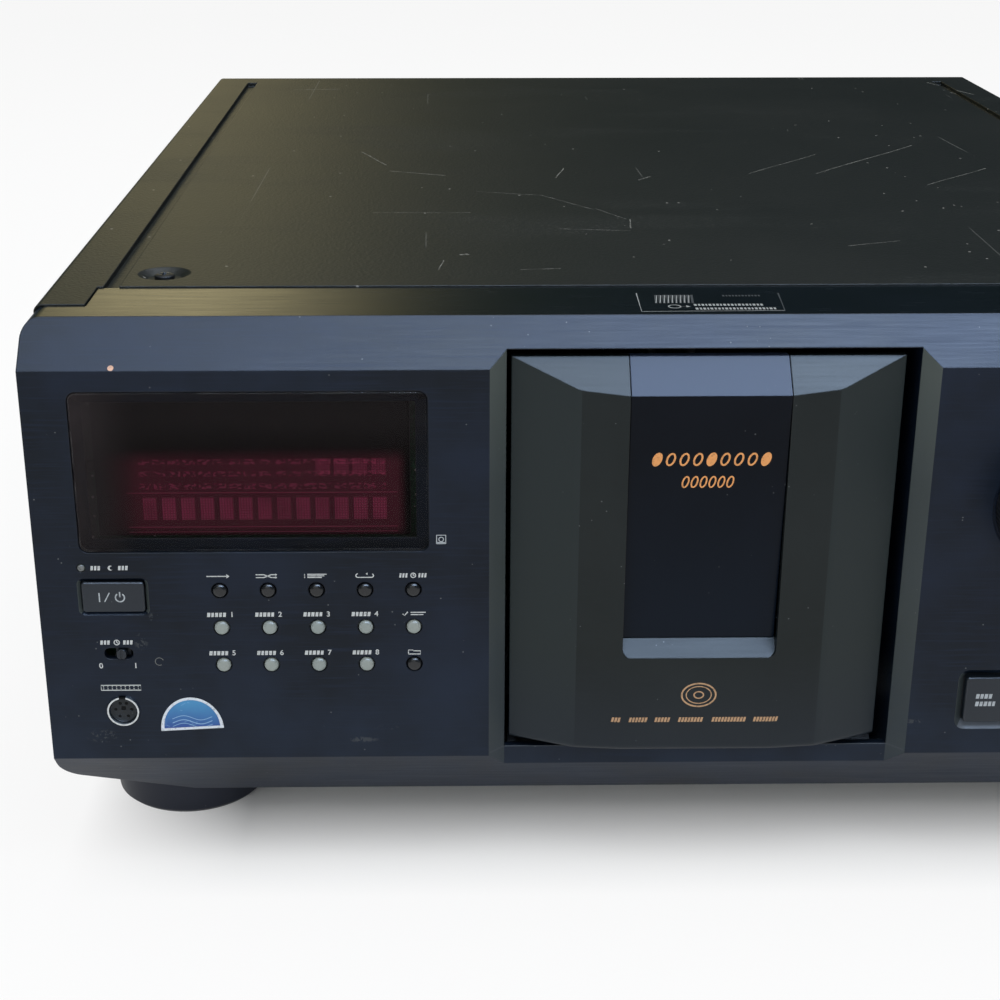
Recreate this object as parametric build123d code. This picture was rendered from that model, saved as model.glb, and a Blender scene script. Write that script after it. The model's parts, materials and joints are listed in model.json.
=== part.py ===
from build123d import *
import os
from math import acos, cos, degrees, pi, radians, sin, sqrt, tan

# A three-hundred disc changer: a front door, a rotary table of disc slots and a disc deck in its middle.
# Sizes are in millimetres. While modelling, Y is the depth behind the fascia's front face, X runs to the
# right and Z up from the floor. shift_to_origin moves the finished pieces to the part's own origin.

# ---------------------------------------------------------------- case
case_width = 430.0
case_height = 189.0
body_depth = 515.0        # fascia front face to the cover's rear edge
dial_proud = 18.0         # how far the jog dial stands in front of the fascia
rear_proud = 12.0         # how far the rear sockets stand behind the cover
foot_height = 15.0
foot_radius = 29.0
foot_base_radius = 27.0
foot_inset = 37.0         # a foot's middle to the case's side
front_foot_depth = 57.0
rear_foot_margin = 62.0
sheet = 0.8               # folded cover steel
base_sheet = 1.0
seam = 0.4                # gap between two case pieces

# ---------------------------------------------------------------- fascia
wall = 2.8
face_bottom = 40.0
top_step = 0.4            # the strip lies this much below the cover
lower_chamfer_depth = 21.0
top_chamfer_depth = 13.6  # also the height it takes
panel_lift = 1.0          # fascia's lower edge above the chassis base's underside
strip_depth = 48.0
notch_inset = 17.6        # this near each side the cover reaches further forward
notch_depth = 26.0
corner_radius = 5.5
low_corner_radius = 9.0
corner_rise = 13.0        # the lower edge climbs towards each corner
corner_rise_run = 43.0
notch_low = 34.0          # below this the fascia's sides run back to its strip's depth

# ---------------------------------------------------------------- door channel and mouth
channel_half = 69.8       # at the front face
mouth_half = 64.5         # at the channel's floor
channel_depth = 5.0
sill_top = 41.0
frame_depth = 40.0        # how far the frame walls reach back

# ---------------------------------------------------------------- door
door_half = 61.4
door_shift = -1.5         # the door stands a little left of its opening's middle
door_proud = 4.0
door_edge_depth = 6.0
door_break_x = 40.5
door_break_proud = 2.5
door_bottom = 43.5
door_foot_radius = 2.4    # rounding under the door
door_drop = 11.1          # the door's top below the strip
door_wall = 2.6
door_rear = 9.0
door_open = 75.0          # degrees
inlay_half = 25.0
inlay_fit = 0.2
inlay_sink = 5.0          # the inlay's lower end lies this deep, below a ledge at 45 degrees
inlay_thickness = 2.4
ledge_top = 82.9
ledge_corner = 3.0
carrier_thickness = 2.4
hinge_depth = 24.0
hinge_height = 30.0
hinge_clear = 0.5         # between the sill and what swings over it
boss_gap = 1.5            # between a hinge boss and the wall beside it
pin_radius = 2.0
pin_fit = 0.05
arm_inner = 50.0
arm_width = 5.5
arm_ring = 4.6
gear_width = 5.0
sector_teeth = 32
pinion_teeth = 12
door_mesh_angle = 60.0
motor_radius = 12.0
small_shaft = 1.0

# ---------------------------------------------------------------- front controls
window_inset, window_width = 14.5, 111.5
window_low = 114.5
window_below = 6.7        # from the fascia's upper edge
window_thickness = 2.2
power_inset, power_z = 24.2, 99.1
power_width, power_height = 22.8, 13.2
open_inset, open_z = 113.4, 60.0
open_width, open_height = 32.4, 22.0
open_bevel = 2.4          # wider than the other keys' bevel
key_bevel = 1.0           # round the recess of a key
key_gap = 0.4             # recess to key, each side
key_travel = 1.5
key_proud = 0.4
small_button_inset = 58.5
small_button_pitch = 15.57
small_button_rows = (101.2, 88.0, 74.6)
small_button_radius = 2.3
small_button_gap = 0.4
small_button_proud = 1.2
small_button_travel = 0.9
transport_inset = 25.0    # the last of the three keys
transport_pitch = 24.0
transport_z = 60.4
transport_width, transport_height = 17.0, 10.0
timer_inset, timer_z = 24.5, 78.9
timer_width, timer_height = 9.4, 4.0
timer_corner = 1.9
slider_width = 3.0
slider_rest = 1.0
socket_inset, socket_z = 24.5, 57.9
socket_radius = 5.25
socket_bore = 4.7
dial_inset, dial_drop = 104.0, 46.4
dial_radius = 19.6
dial_gap = 1.0
dial_shaft = 3.0
lamp_inset, lamp_z = 14.6, 109.3
lamp_radius = 1.2
board_depth = 14.0
board_thickness = 1.6
board_margin = 4.0        # from the fascia's edges and the frame walls
boss_radius = 3.0

# ---------------------------------------------------------------- cover
groove_inset = 21.8
groove_width = 5.2
groove_drop = 2.0
groove_end_margin = 17.0
dish_inset, dish_depth = 36.6, 65.5
dish_radius = 9.0
dish_drop = 1.8
edge_radius = 2.5
lip_height = 12.0
rear_screw_inset = 65.0
rear_screw_drop = 7.0

# ---------------------------------------------------------------- rotary table
table_depth = 250.0       # its centre, behind the fascia's front face
table_radius = 205.0
table_bore = 81.0
slot_count = 300
slot_inner_radius = 88.0
slot_inner_width = 1.4
slot_outer_width = 3.2
table_floor = 34.0        # underside
table_floor_thickness = 3.0
fin_outer_height = 10.0
fin_inner_height = 60.0
ring_module = 2.0
ring_teeth = 84
table_pinion_teeth = 16
ring_gear_height = 10.0
running_gap = 0.3
mesh_slack = 0.3

# ---------------------------------------------------------------- disc deck and loading lever
deck_wall = 2.5
deck_room = 39.0          # from the deck's top to the cover
spindle_height = 97.0
spindle_radius = 15.0
lever_post_x, lever_post_y = 130.0, 165.0   # from the table's centre
lever_post_radius = 4.0
lever_post_room = 18.0    # from the post's top to the cover
lever_room = 28.7         # from the lever's underside to the cover
lever_swing = 50.0        # degrees
lever_teeth = 40
finger_reach = 210.0      # the finger's distance from the table's centre
finger_low = 110.0

# ---------------------------------------------------------------- worked out from the above
half_width = case_width / 2
cover_half = half_width - sheet
chassis_bottom = foot_height
chassis_top = chassis_bottom + base_sheet
panel_bottom = chassis_bottom + panel_lift
strip_top = case_height - top_step
face_top = strip_top - top_chamfer_depth
door_top = strip_top - door_drop
foot_x = half_width - foot_inset
notch_x = half_width - notch_inset
window_left = -half_width + window_inset
window_right = window_left + window_width
window_high = face_top - window_below
power_x = -half_width + power_inset
open_x = half_width - open_inset
small_button_x = -half_width + small_button_inset
transport_x = [half_width - transport_inset - transport_pitch * i for i in (2, 1, 0)]
timer_x = -half_width + timer_inset
socket_x = -half_width + socket_inset
dial_x, dial_z = half_width - dial_inset, face_top - dial_drop
lamp_x = -half_width + lamp_inset
groove_x = half_width - groove_inset
dish_x = half_width - dish_inset
rear_screw_x = (-half_width + rear_screw_inset, 0.0, half_width - rear_screw_inset)
deck_top = case_height - deck_room
lever_post_top = case_height - lever_post_room
lever_height = case_height - lever_room
frame_outer = mouth_half + wall
ledge_bottom = ledge_top - inlay_sink
slot_floor = table_floor + table_floor_thickness
beyond = 20.0             # how far cutting shapes run past what they cut

pieces = {}


# ---------------------------------------------------------------- shapes drawn in a plane, given a length
def slab(outline, front, back):
    """An outline in X and Z, carried from one depth to another."""
    return extrude(Plane.XZ.offset(-back) * outline, amount=back - front, dir=(0, -1, 0))


def bar(outline, left, right):
    """An outline in depth and Z, carried from left to right."""
    return extrude(Plane.YZ.offset(left) * outline, amount=right - left, dir=(1, 0, 0))


def plate(outline, low, high):
    """An outline in X and depth, carried upwards."""
    return extrude(Plane.XY.offset(low) * outline, amount=high - low, dir=(0, 0, 1))


def block(left, right, front, back, low, high):
    return Pos((left + right) / 2, (front + back) / 2, (low + high) / 2) * Box(
        right - left, back - front, high - low)


def outline(*points):
    return Polygon(*points, align=None)


def round_corners(width, height, radius):
    return RectangleRounded(width, height, radius)


def rod_back(x, z, radius, front, back):
    return slab(Pos(x, z) * Circle(radius), front, back)


def rod_across(depth, z, radius, left, right):
    return bar(Pos(depth, z) * Circle(radius), left, right)


def rod_up(x, depth, radius, low, high):
    return plate(Pos(x, depth) * Circle(radius), low, high)


def mirrored(shape):
    return mirror(shape, about=Plane.YZ)


def wedge(start, end, reach):
    """A slice of a circle's area between two angles, as a polygon of equal steps."""
    steps = 4
    rim = [start + (end - start) * i / steps for i in range(steps + 1)]
    return outline((0, 0), *[(reach * cos(radians(a)), reach * sin(radians(a))) for a in rim])


def gear_outline(teeth, module, addendum=1.0, dedendum=1.25, slack=mesh_slack, turn=0.0):
    """Involute teeth with straight flank steps. A tooth is centred on the angle turn."""
    pitch_radius = teeth * module / 2
    pressure = radians(20)
    base_radius = pitch_radius * cos(pressure)
    tip = pitch_radius + addendum * module
    root = pitch_radius - dedendum * module
    half_tooth = pi / (2 * teeth) - slack / (2 * pitch_radius)

    def half_angle(radius):
        at = acos(min(1.0, base_radius / radius))
        return half_tooth + (tan(pressure) - pressure) - (tan(at) - at)

    flank = [max(root, base_radius), pitch_radius, tip]
    if root < base_radius:
        flank.insert(0, root)
    points = []
    for tooth in range(teeth):
        centre = radians(turn) + 2 * pi * tooth / teeth
        for side, radii in ((-1, flank), (1, flank[::-1])):
            for radius in radii:
                angle = centre + side * half_angle(max(radius, base_radius))
                points.append((radius * cos(angle), radius * sin(angle)))
    return outline(*points)


# ---------------------------------------------------------------- fascia
def panel_block(inset, rear):
    """The fascia's outer form, or its inside when inset by the wall, open behind."""
    far = rear + beyond
    profile = outline(
        (lower_chamfer_depth, panel_bottom), (0, face_bottom), (0, face_top),
        (top_chamfer_depth, strip_top), (far, strip_top), (far, panel_bottom))
    corners = outline(
        (-half_width, panel_bottom + corner_rise), (-half_width + corner_rise_run, panel_bottom),
        (half_width - corner_rise_run, panel_bottom), (half_width, panel_bottom + corner_rise),
        (half_width, strip_top), (-half_width, strip_top))
    low_corners = [v for v in corners.vertices() if abs(v.X) > half_width - 1 and v.Y < face_bottom]
    corners = fillet(low_corners, low_corner_radius)
    top_corners = [v for v in corners.vertices() if v.Y > face_top]
    corners = fillet(top_corners, corner_radius)
    if inset:
        profile = offset(profile, amount=-inset, kind=Kind.INTERSECTION)
        corners = offset(corners, amount=-inset)
    return bar(profile, -half_width, half_width) & slab(corners, -beyond, rear)


def channel_cut():
    slope = (channel_half - mouth_half) / channel_depth
    wide = channel_half + slope
    return plate(outline((-wide, -1), (wide, -1), (mouth_half, channel_depth),
                         (-mouth_half, channel_depth)), 0, case_height)


def key_hole(x, z, width, height, bevel=key_bevel):
    """A through hole whose front edge is bevelled wider."""
    straight = slab(Pos(x, z) * round_corners(width - 2 * bevel, height - 2 * bevel, 1.2), -1, wall + 1)
    mouth = extrude(Plane.XZ.offset(-bevel) * Pos(x, z) * round_corners(
        width - 2 * bevel, height - 2 * bevel, 1.2), amount=bevel, taper=-45)
    return straight + mouth


def front_panel():
    panel = panel_block(0, strip_depth) - panel_block(wall, strip_depth + beyond)
    for side in (-1, 1):
        near, far = sorted((side * notch_x, side * (half_width + 1)))
        panel -= block(near, far, notch_depth, strip_depth + 1, notch_low, case_height + 1)
    surround = block(-channel_half - wall, channel_half + wall, 0, channel_depth + wall,
                     panel_bottom, strip_top)
    for side in (-1, 1):
        near, far = sorted((side * mouth_half, side * frame_outer))
        surround += block(near, far, channel_depth, frame_depth, panel_bottom, strip_top)
    panel += surround & panel_block(0, strip_depth)
    panel -= channel_cut()
    panel -= block(-mouth_half, mouth_half, 0, frame_depth + 1, sill_top, face_top + channel_depth)
    # display window's seat and the opening behind it
    window = Pos((window_left + window_right) / 2, (window_low + window_high) / 2)
    width, height = window_right - window_left, window_high - window_low
    panel -= slab(window * round_corners(width, height, 3.0), -1, window_thickness)
    panel -= slab(window * Rectangle(width - 8, height - 8), -1, wall + 1)
    # keys
    panel -= key_hole(power_x, power_z, power_width, power_height)
    panel -= key_hole(open_x, open_z, open_width, open_height, open_bevel)
    for x in transport_x:
        panel -= key_hole(x, transport_z, transport_width, transport_height)
    holes = [Pos(small_button_x + small_button_pitch * column, z) * Circle(
        small_button_radius + small_button_gap) for column in range(5) for z in small_button_rows]
    holes.append(Pos(timer_x, timer_z) * round_corners(timer_width, timer_height, timer_corner))
    holes.append(Pos(socket_x, socket_z) * Circle(socket_radius + 0.15))
    holes.append(Pos(lamp_x, lamp_z) * Circle(lamp_radius + 0.2))
    holes.append(Pos(dial_x, dial_z) * Circle(dial_shaft + 0.5))
    for hole in holes:
        panel -= slab(hole, -1, wall + 1)
    # the dial's shallow round seat
    panel -= rod_back(dial_x, dial_z, dial_radius + dial_gap, -1, 1.2)
    # bosses that carry the boards
    for x, z in board_bosses():
        panel += rod_back(x, z, boss_radius, wall - 0.5, board_depth)
    # hinge pin holes, the door gear's shaft hole and the tabs under the cover's screws
    panel -= rod_across(hinge_depth, hinge_height, pin_radius + pin_fit, -frame_outer - 1, frame_outer + 1)
    panel -= rod_across(door_gear_depth, door_gear_height, small_shaft + 0.5, mouth_half - 1, frame_outer + 1)
    for side in (-1, 1):
        tab = block(side * dish_x - 10, side * dish_x + 10, strip_depth - 6, dish_depth + 9,
                    tab_top - 2.4, tab_top)
        tab += block(side * dish_x - 10, side * dish_x + 10, strip_depth - 6, strip_depth - 3,
                     tab_top - 2.4, strip_top - wall + 0.5)
        panel += tab - rod_up(side * dish_x, dish_depth, 1.6, tab_top - 3, tab_top + 1)
    return panel


def board_bosses():
    """Where the boards are screwed: clear of every key, the lamp and the dial."""
    left = [(x, z) for x in (left_board[0] + 4, left_board[1] - 4) for z in (left_board[2] + 4, lamp_z - 23)]
    right = [(x, z) for x in (right_board[0] + 40, right_board[1] - 5)
             for z in (right_board[2] + 1, right_board[3] - 6)]
    return left + right


door_gear_reach = (sector_teeth + pinion_teeth) / 2
door_gear_depth = hinge_depth + door_gear_reach * cos(radians(door_mesh_angle))
door_gear_height = hinge_height + door_gear_reach * sin(radians(door_mesh_angle))
tab_top = case_height - dish_drop - sheet
cover_low = panel_bottom + 1
left_board = (-half_width + 7, -frame_outer - 7.7, face_bottom + board_margin, face_top - board_margin)
right_board = (frame_outer + 12.7, half_width - 9, face_bottom + board_margin, face_top - 15)

pieces["front_panel"] = front_panel()


# ---------------------------------------------------------------- display
def display_window():
    centre = Pos((window_left + window_right) / 2, (window_low + window_high) / 2)
    width = window_right - window_left - 0.4
    height = window_high - window_low - 0.4
    lens = slab(centre * round_corners(width, height, 2.8), 0, window_thickness)
    front = [e for e in lens.edges() if abs(e.center().Y) < 0.01]
    return chamfer(front, 0.4)


def display_tube():
    left, right = window_left + 6, window_right - 6
    glass = block(left, right, wall + 2.2, board_depth - 2, window_low + 4, window_high - 5)
    nib = rod_across(wall + 5.5, (window_low + window_high) / 2, 1.6, left - 3, left)
    holder = block(left + 3, right - 3, board_depth - 2, board_depth, window_low + 6, window_high - 7)
    return glass + nib + holder


pieces["display_window"] = display_window()
pieces["display_tube"] = display_tube()

# ---------------------------------------------------------------- keys and buttons
switch_gap = 0.2          # left between a fully pressed key and its switch


def key(x, z, width, height, bevel=key_bevel):
    """A rounded key with a collar behind the fascia and a stem to its switch."""
    cap_width, cap_height = width - 2 * (bevel + key_gap), height - 2 * (bevel + key_gap)
    cap = slab(Pos(x, z) * round_corners(cap_width, cap_height, 1.0), -key_proud, wall + running_gap)
    front = [e for e in cap.edges() if e.center().Y < -key_proud + 0.01]
    cap = chamfer(front, 0.35)
    collar = slab(Pos(x, z) * Rectangle(cap_width + 3, cap_height + 3), wall + running_gap,
                  wall + running_gap + 1.2)
    stem = slab(Pos(x, z) * Rectangle(4, 4), wall + running_gap + 1.2, switch_front - key_travel - switch_gap)
    return cap + collar + stem


def small_button(x, z):
    cap = rod_back(x, z, small_button_radius, -small_button_proud, wall + running_gap)
    collar = slab(Pos(x, z) * Rectangle(7.0, 7.0), wall + running_gap, wall + running_gap + 1.0)
    stem = slab(Pos(x, z) * Rectangle(2.4, 2.4), wall + running_gap + 1.0,
                switch_front - small_button_travel - switch_gap)
    return cap + collar + stem


switch_front = board_depth - 5.0
button_names = (
    ("continue_button", "shuffle_button", "program_button", "repeat_button", "time_button"),
    ("group_1_button", "group_2_button", "group_3_button", "group_4_button", "hit_list_button"),
    ("group_5_button", "group_6_button", "group_7_button", "group_8_button", "group_file_button"))
switch_places = []
for row, z in zip(button_names, small_button_rows):
    for column, name in enumerate(row):
        x = small_button_x + small_button_pitch * column
        pieces[name] = small_button(x, z)
        switch_places.append((x, z))
pieces["power_button"] = key(power_x, power_z, power_width, power_height)
pieces["open_close_button"] = key(open_x, open_z, open_width, open_height, open_bevel)
switch_places += [(power_x, power_z), (open_x, open_z)]
for name, x in zip(("stop_button", "pause_button", "play_button"), transport_x):
    pieces[name] = key(x, transport_z, transport_width, transport_height)
    switch_places.append((x, transport_z))


def timer_slider():
    x = timer_x + slider_rest
    face = round_corners(slider_width, timer_height - 0.8, 1.2)
    knob = slab(Pos(x, timer_z) * face, -1.0, wall + running_gap)
    grip = slab(Pos(x, timer_z) * Rectangle(0.8, timer_height), -1.4, -0.6)
    foot = slab(Pos(x, timer_z) * Rectangle(slider_width + 2, timer_height + 1.6), wall + running_gap,
                wall + running_gap + 1.2)
    stem = slab(Pos(x, timer_z) * Rectangle(2, 2), wall + running_gap + 1.2, slide_switch_front - 0.3)
    return knob - grip + foot + stem


def keyboard_jack():
    ring = rod_back(socket_x, socket_z, socket_radius, -0.8, wall + 2)
    ring -= rod_back(socket_x, socket_z, socket_bore, -1, wall + 2)
    core = rod_back(socket_x, socket_z, socket_bore - 0.3, 0.6, wall + 2)
    top = socket_z + socket_bore
    core -= block(socket_x - 1.0, socket_x + 1.0, 0, wall, top - 1.5, top)
    body = slab(Pos(socket_x, socket_z) * Rectangle(14, 13), wall + 0.5, board_depth)
    return ring + core + body


def jog_dial():
    """A dial turned about its axis, dished in front, with its shaft."""
    half = outline(
        (0, -dial_proud + 1.2), (dial_radius - 6, -dial_proud), (dial_radius - 2.2, -dial_proud),
        (dial_radius, -dial_proud + 2.2), (dial_radius, -running_gap + 1.0), (dial_shaft, -running_gap + 1.0),
        (dial_shaft, board_depth - 4), (0, board_depth - 4))
    turned = revolve(Plane.XY * half, axis=Axis.Y)
    finger = Pos(0, -dial_proud - 4.2, dial_radius - 8.5) * Sphere(6.5)
    return Pos(dial_x, 0, dial_z) * (turned - finger)


slide_switch_front = board_depth - 4.0
pieces["timer_slider"] = timer_slider()
pieces["keyboard_jack"] = keyboard_jack()
pieces["jog_dial"] = jog_dial()


def front_board():
    """Two boards behind the fascia, with a switch behind each key, the lamp and the dial's encoder."""
    boards = block(left_board[0], left_board[1], board_depth, board_depth + board_thickness,
                   left_board[2], left_board[3])
    boards += block(right_board[0], right_board[1], board_depth, board_depth + board_thickness,
                    right_board[2], right_board[3])
    for x, z in switch_places:
        boards += block(x - 3, x + 3, switch_front, board_depth, z - 3, z + 3)
    boards += block(timer_x - 5, timer_x + 5, slide_switch_front, board_depth, timer_z - 3, timer_z + 3)
    boards += block(dial_x - 7, dial_x + 7, wall + 1.2, board_depth, dial_z - 7, dial_z + 7)
    boards -= rod_back(dial_x, dial_z, dial_shaft + pin_fit, wall, board_depth - 3)
    boards += rod_back(lamp_x, lamp_z, lamp_radius, 0.3, board_depth)
    return boards


pieces["front_board"] = front_board()


# ---------------------------------------------------------------- door
hinge_swing = sqrt((hinge_depth - channel_depth) ** 2 + (sill_top - hinge_height) ** 2) + hinge_clear


def door_forms(inset):
    """The door's plan and side profile, inset for its inside."""
    far = door_rear + (beyond if inset else 0)
    plan = outline(
        (-door_half, door_edge_depth), (-door_break_x, -door_break_proud), (-inlay_half, -door_proud),
        (inlay_half, -door_proud), (door_break_x, -door_break_proud), (door_half, door_edge_depth),
        (door_half, far), (-door_half, far))
    breaks = [v for v in plan.vertices() if abs(abs(v.X) - door_break_x) < 0.1]
    plan = fillet(breaks, 12.0)
    slope_foot = door_top - door_edge_depth - beyond
    side = outline((-beyond, door_bottom), (-beyond, slope_foot), (door_edge_depth, door_top),
                   (far, door_top), (far, door_bottom))
    if inset:
        plan = offset(plan, amount=-inset, kind=Kind.INTERSECTION)
        side = offset(side, amount=-inset, kind=Kind.INTERSECTION)
    return plan, side


def door_block(inset):
    plan, side = door_forms(inset)
    return plate(plan, 0, case_height) & bar(side, -door_half, door_half)


def door_panel():
    door = door_block(0)
    low_edges = [e for e in door.edges()
                 if e.center().Z < door_bottom + 0.1 and e.center().Y < door_edge_depth]
    door = fillet(low_edges, door_foot_radius) - door_block(door_wall)
    shelf = block(-inlay_half - 2, inlay_half + 2, -door_proud + 1, -door_proud + inlay_sink + 3,
                  ledge_bottom - 3, ledge_top)
    door += shelf
    door -= block(-inlay_half, inlay_half, -door_proud - 1, door_rear + 1, ledge_top, door_top + 1)
    # the ledge slopes forward from the inlay's sunk end, round its lower corners
    ledge = bar(outline(
        (-door_proud - 1, ledge_bottom - 1), (-door_proud + inlay_sink, ledge_top),
        (-door_proud + inlay_sink, ledge_top + 1), (-door_proud - 1, ledge_top + 1)), -inlay_half, inlay_half)
    rounded = Pos(0, ledge_top + 1) * Rectangle(2 * inlay_half, 2 * (ledge_top + 1 - ledge_bottom))
    lower = [v for v in rounded.vertices() if v.Y < ledge_top]
    door -= ledge & slab(fillet(lower, ledge_corner), -door_proud - 2, door_rear)
    return door - rod_across(hinge_depth, hinge_height, hinge_swing, -door_half, door_half)


def door_window():
    """The smoked inlay: flush at the door's top, sunk at its lower end, with its own top chamfer."""
    corner = door_top - door_edge_depth - door_proud
    back = inlay_thickness
    turn = back * (sqrt(2) - 1)
    side = outline(
        (-door_proud + inlay_sink, ledge_top + inlay_fit), (-door_proud, corner),
        (door_edge_depth, door_top), (door_rear, door_top), (door_rear, door_top - back),
        (door_edge_depth + turn, door_top - back), (-door_proud + back, corner - turn),
        (-door_proud + inlay_sink + back, ledge_top + inlay_fit))
    return bar(side, -inlay_half + inlay_fit, inlay_half - inlay_fit)


def hinge_arm(left, right):
    """A curved arm that passes over the sill as the door swings."""
    outer = hinge_swing + arm_ring
    at_hinge = Pos(hinge_depth, hinge_height)
    ring = (Circle(outer) - Circle(hinge_swing)) & wedge(54, 125, 2 * outer)
    spoke = Rot(0, 0, 62) * Pos(outer / 2, 0) * Rectangle(outer - 1, 6.0)
    hub = Circle(pin_radius + 3.4)
    return bar(at_hinge * (ring + spoke + hub), left, right)


def door_carrier():
    """The plate behind the door with its two arms and the toothed sector that opens it."""
    back = door_rear + carrier_thickness
    frame = block(-door_half + 2.5, door_half - 2.5, door_rear, back, hinge_height + 17.5, door_top - 5)
    frame -= block(-door_break_x, door_break_x, door_rear - 1, back + 1, 68, door_top - 20)
    frame -= rod_across(hinge_depth, hinge_height, hinge_swing, -door_half, door_half)
    for left in (-arm_inner - arm_width, arm_inner):
        frame += hinge_arm(left, left + arm_width)
    bosses = mouth_half - boss_gap
    sector_left = arm_inner + arm_width
    sector = gear_outline(sector_teeth, 1.0, turn=door_mesh_angle) & (wedge(-28, 73, 40) + Circle(
        pin_radius + 3.4))
    sector = Pos(hinge_depth, hinge_height) * sector
    frame += bar(sector, sector_left, sector_left + gear_width)
    for side in (-1, 1):
        near, far = sorted((side * arm_inner, side * bosses))
        frame += rod_across(hinge_depth, hinge_height, pin_radius + 3.4, near, far)
    frame -= rod_across(hinge_depth, hinge_height, pin_radius + pin_fit, -mouth_half, mouth_half)
    return frame


def door_hinge_pins():
    pin = rod_across(hinge_depth, hinge_height, pin_radius, arm_inner, frame_outer + 1)
    head = rod_across(hinge_depth, hinge_height, pin_radius + 1.5, frame_outer, frame_outer + 1.2)
    return Compound([pin + head, mirrored(pin + head)])


def door_drive_gear():
    gear_left = arm_inner + arm_width + 0.3
    teeth = Pos(door_gear_depth, door_gear_height) * gear_outline(
        pinion_teeth, 1.0, turn=door_mesh_angle + 180 + 180 / pinion_teeth)
    shaft = rod_across(door_gear_depth, door_gear_height, small_shaft, gear_left, frame_outer + 8)
    return bar(teeth, gear_left, gear_left + gear_width - 0.6) + shaft


def door_motor():
    can = rod_across(door_gear_depth, door_gear_height, motor_radius, frame_outer, frame_outer + 26)
    nose = rod_across(door_gear_depth, door_gear_height, 4.0, frame_outer + 26, frame_outer + 28)
    return can + nose - rod_across(door_gear_depth, door_gear_height, small_shaft + pin_fit,
                                   frame_outer - 1, frame_outer + 9)


pieces["door_panel"] = Pos(door_shift, 0, 0) * door_panel()
pieces["door_window"] = Pos(door_shift, 0, 0) * door_window()
pieces["door_carrier"] = door_carrier()
pieces["door_hinge_pins"] = door_hinge_pins()
pieces["door_drive_gear"] = door_drive_gear()
pieces["door_motor"] = door_motor()


# ---------------------------------------------------------------- case
def top_cover():
    """Folded steel with two pressed grooves, two dished screw places and a rear lip."""
    inner_half = cover_half - sheet
    front = strip_depth + seam
    corner_front = notch_depth + seam
    outer = outline((-cover_half, cover_low), (cover_half, cover_low),
                    (cover_half, case_height), (-cover_half, case_height))
    upper = [v for v in outer.vertices() if v.Y > case_height - 1]
    cover = slab(fillet(upper, edge_radius), corner_front, body_depth)
    ceiling = case_height - sheet
    grooves_low = case_height - groove_drop
    hollow = outline((-inner_half, 0), (inner_half, 0), (inner_half, ceiling), (-inner_half, ceiling))
    upper = [v for v in hollow.vertices() if v.Y > ceiling - 1]
    cover -= slab(fillet(upper, edge_radius - sheet), corner_front - 1, body_depth - sheet)
    cover -= block(-inner_half, inner_half, body_depth - sheet - 1, body_depth + 1, 0, ceiling - lip_height)
    cover -= block(-notch_x - seam, notch_x + seam, corner_front - 1, front, 0, case_height + 1)
    cover -= block(-half_width, half_width, corner_front - 1, front, 0, notch_low + seam)
    for x in rear_screw_x:
        cover -= rod_back(x, case_height - rear_screw_drop, 1.8, body_depth - 2, body_depth + 1)
    groove_end = body_depth - groove_end_margin
    for side in (-1, 1):
        x = side * groove_x
        half = groove_width / 2
        cover += block(x - half - sheet, x + half + sheet, front, groove_end + sheet,
                       grooves_low - sheet, ceiling)
        cover -= block(x - half, x + half, front - 1, groove_end, grooves_low, case_height + 1)
        dish = Pos(side * dish_x, dish_depth, 0)
        cover += dish * Pos(0, 0, ceiling - dish_drop / 2) * Cone(
            dish_radius - 2.4, dish_radius, dish_drop)
        cover -= dish * Pos(0, 0, case_height - dish_drop / 2) * Cone(
            dish_radius - 3.2, dish_radius, dish_drop)
        cover -= dish * Pos(0, 0, ceiling - dish_drop) * Cylinder(1.8, 4)
    return cover


def chassis_base():
    """The bottom plate with turned-up sides and the riveted post of the loading lever."""
    inner_half = cover_half - sheet - seam
    rear = body_depth - sheet - base_sheet
    level = half_width - corner_rise_run
    base = block(-inner_half, inner_half, strip_depth + 1, rear, chassis_bottom, chassis_top)
    base += block(-level, level, lower_chamfer_depth + 3, strip_depth + 1, chassis_bottom, chassis_top)
    for side in (-1, 1):
        near, far = sorted((side * (inner_half - base_sheet), side * inner_half))
        base += block(near, far, strip_depth + 2, rear, chassis_bottom, chassis_top + 12)
    post_depth = table_depth + lever_post_y
    base += rod_up(lever_post_x, post_depth, lever_post_radius, chassis_top, lever_height - running_gap)
    base += rod_up(lever_post_x, post_depth, lever_post_radius - 1, chassis_top, lever_post_top)
    return base


def rear_panel():
    rear = body_depth - sheet
    width, height = 2 * (cover_half - sheet - 0.1), case_height - sheet - chassis_bottom
    sheet_outline = Pos(0, chassis_bottom + height / 2) * Rectangle(width, height)
    upper = [v for v in sheet_outline.vertices() if v.Y > chassis_bottom + 1]
    panel = slab(fillet(upper, edge_radius), rear - base_sheet, rear)
    for x in rear_screw_x:
        panel -= rod_back(x, case_height - rear_screw_drop, 1.6, rear - 2, rear + 1)
    panel -= block(jack_left + 4, jack_right - 4, rear - 2, rear + 2, jack_low + 4, jack_high - 4)
    panel -= rod_back(gland_x, gland_z, gland_radius + 0.1, rear - 2, rear + 2)
    return panel


def foot(x, depth):
    side = outline((0, 0), (foot_base_radius - 1.5, 0), (foot_base_radius, 1.5), (foot_radius, foot_height),
                   (0, foot_height))
    return Pos(x, depth, 0) * revolve(Plane.XZ * side, axis=Axis.Z)


def screw(length):
    """A pan head screw that points down, its head's underside at the origin."""
    head = Pos(0, 0, 0.9) * Cylinder(3.4, 1.8)
    return head + Pos(0, 0, -length / 2) * Cylinder(1.5, length)


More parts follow.
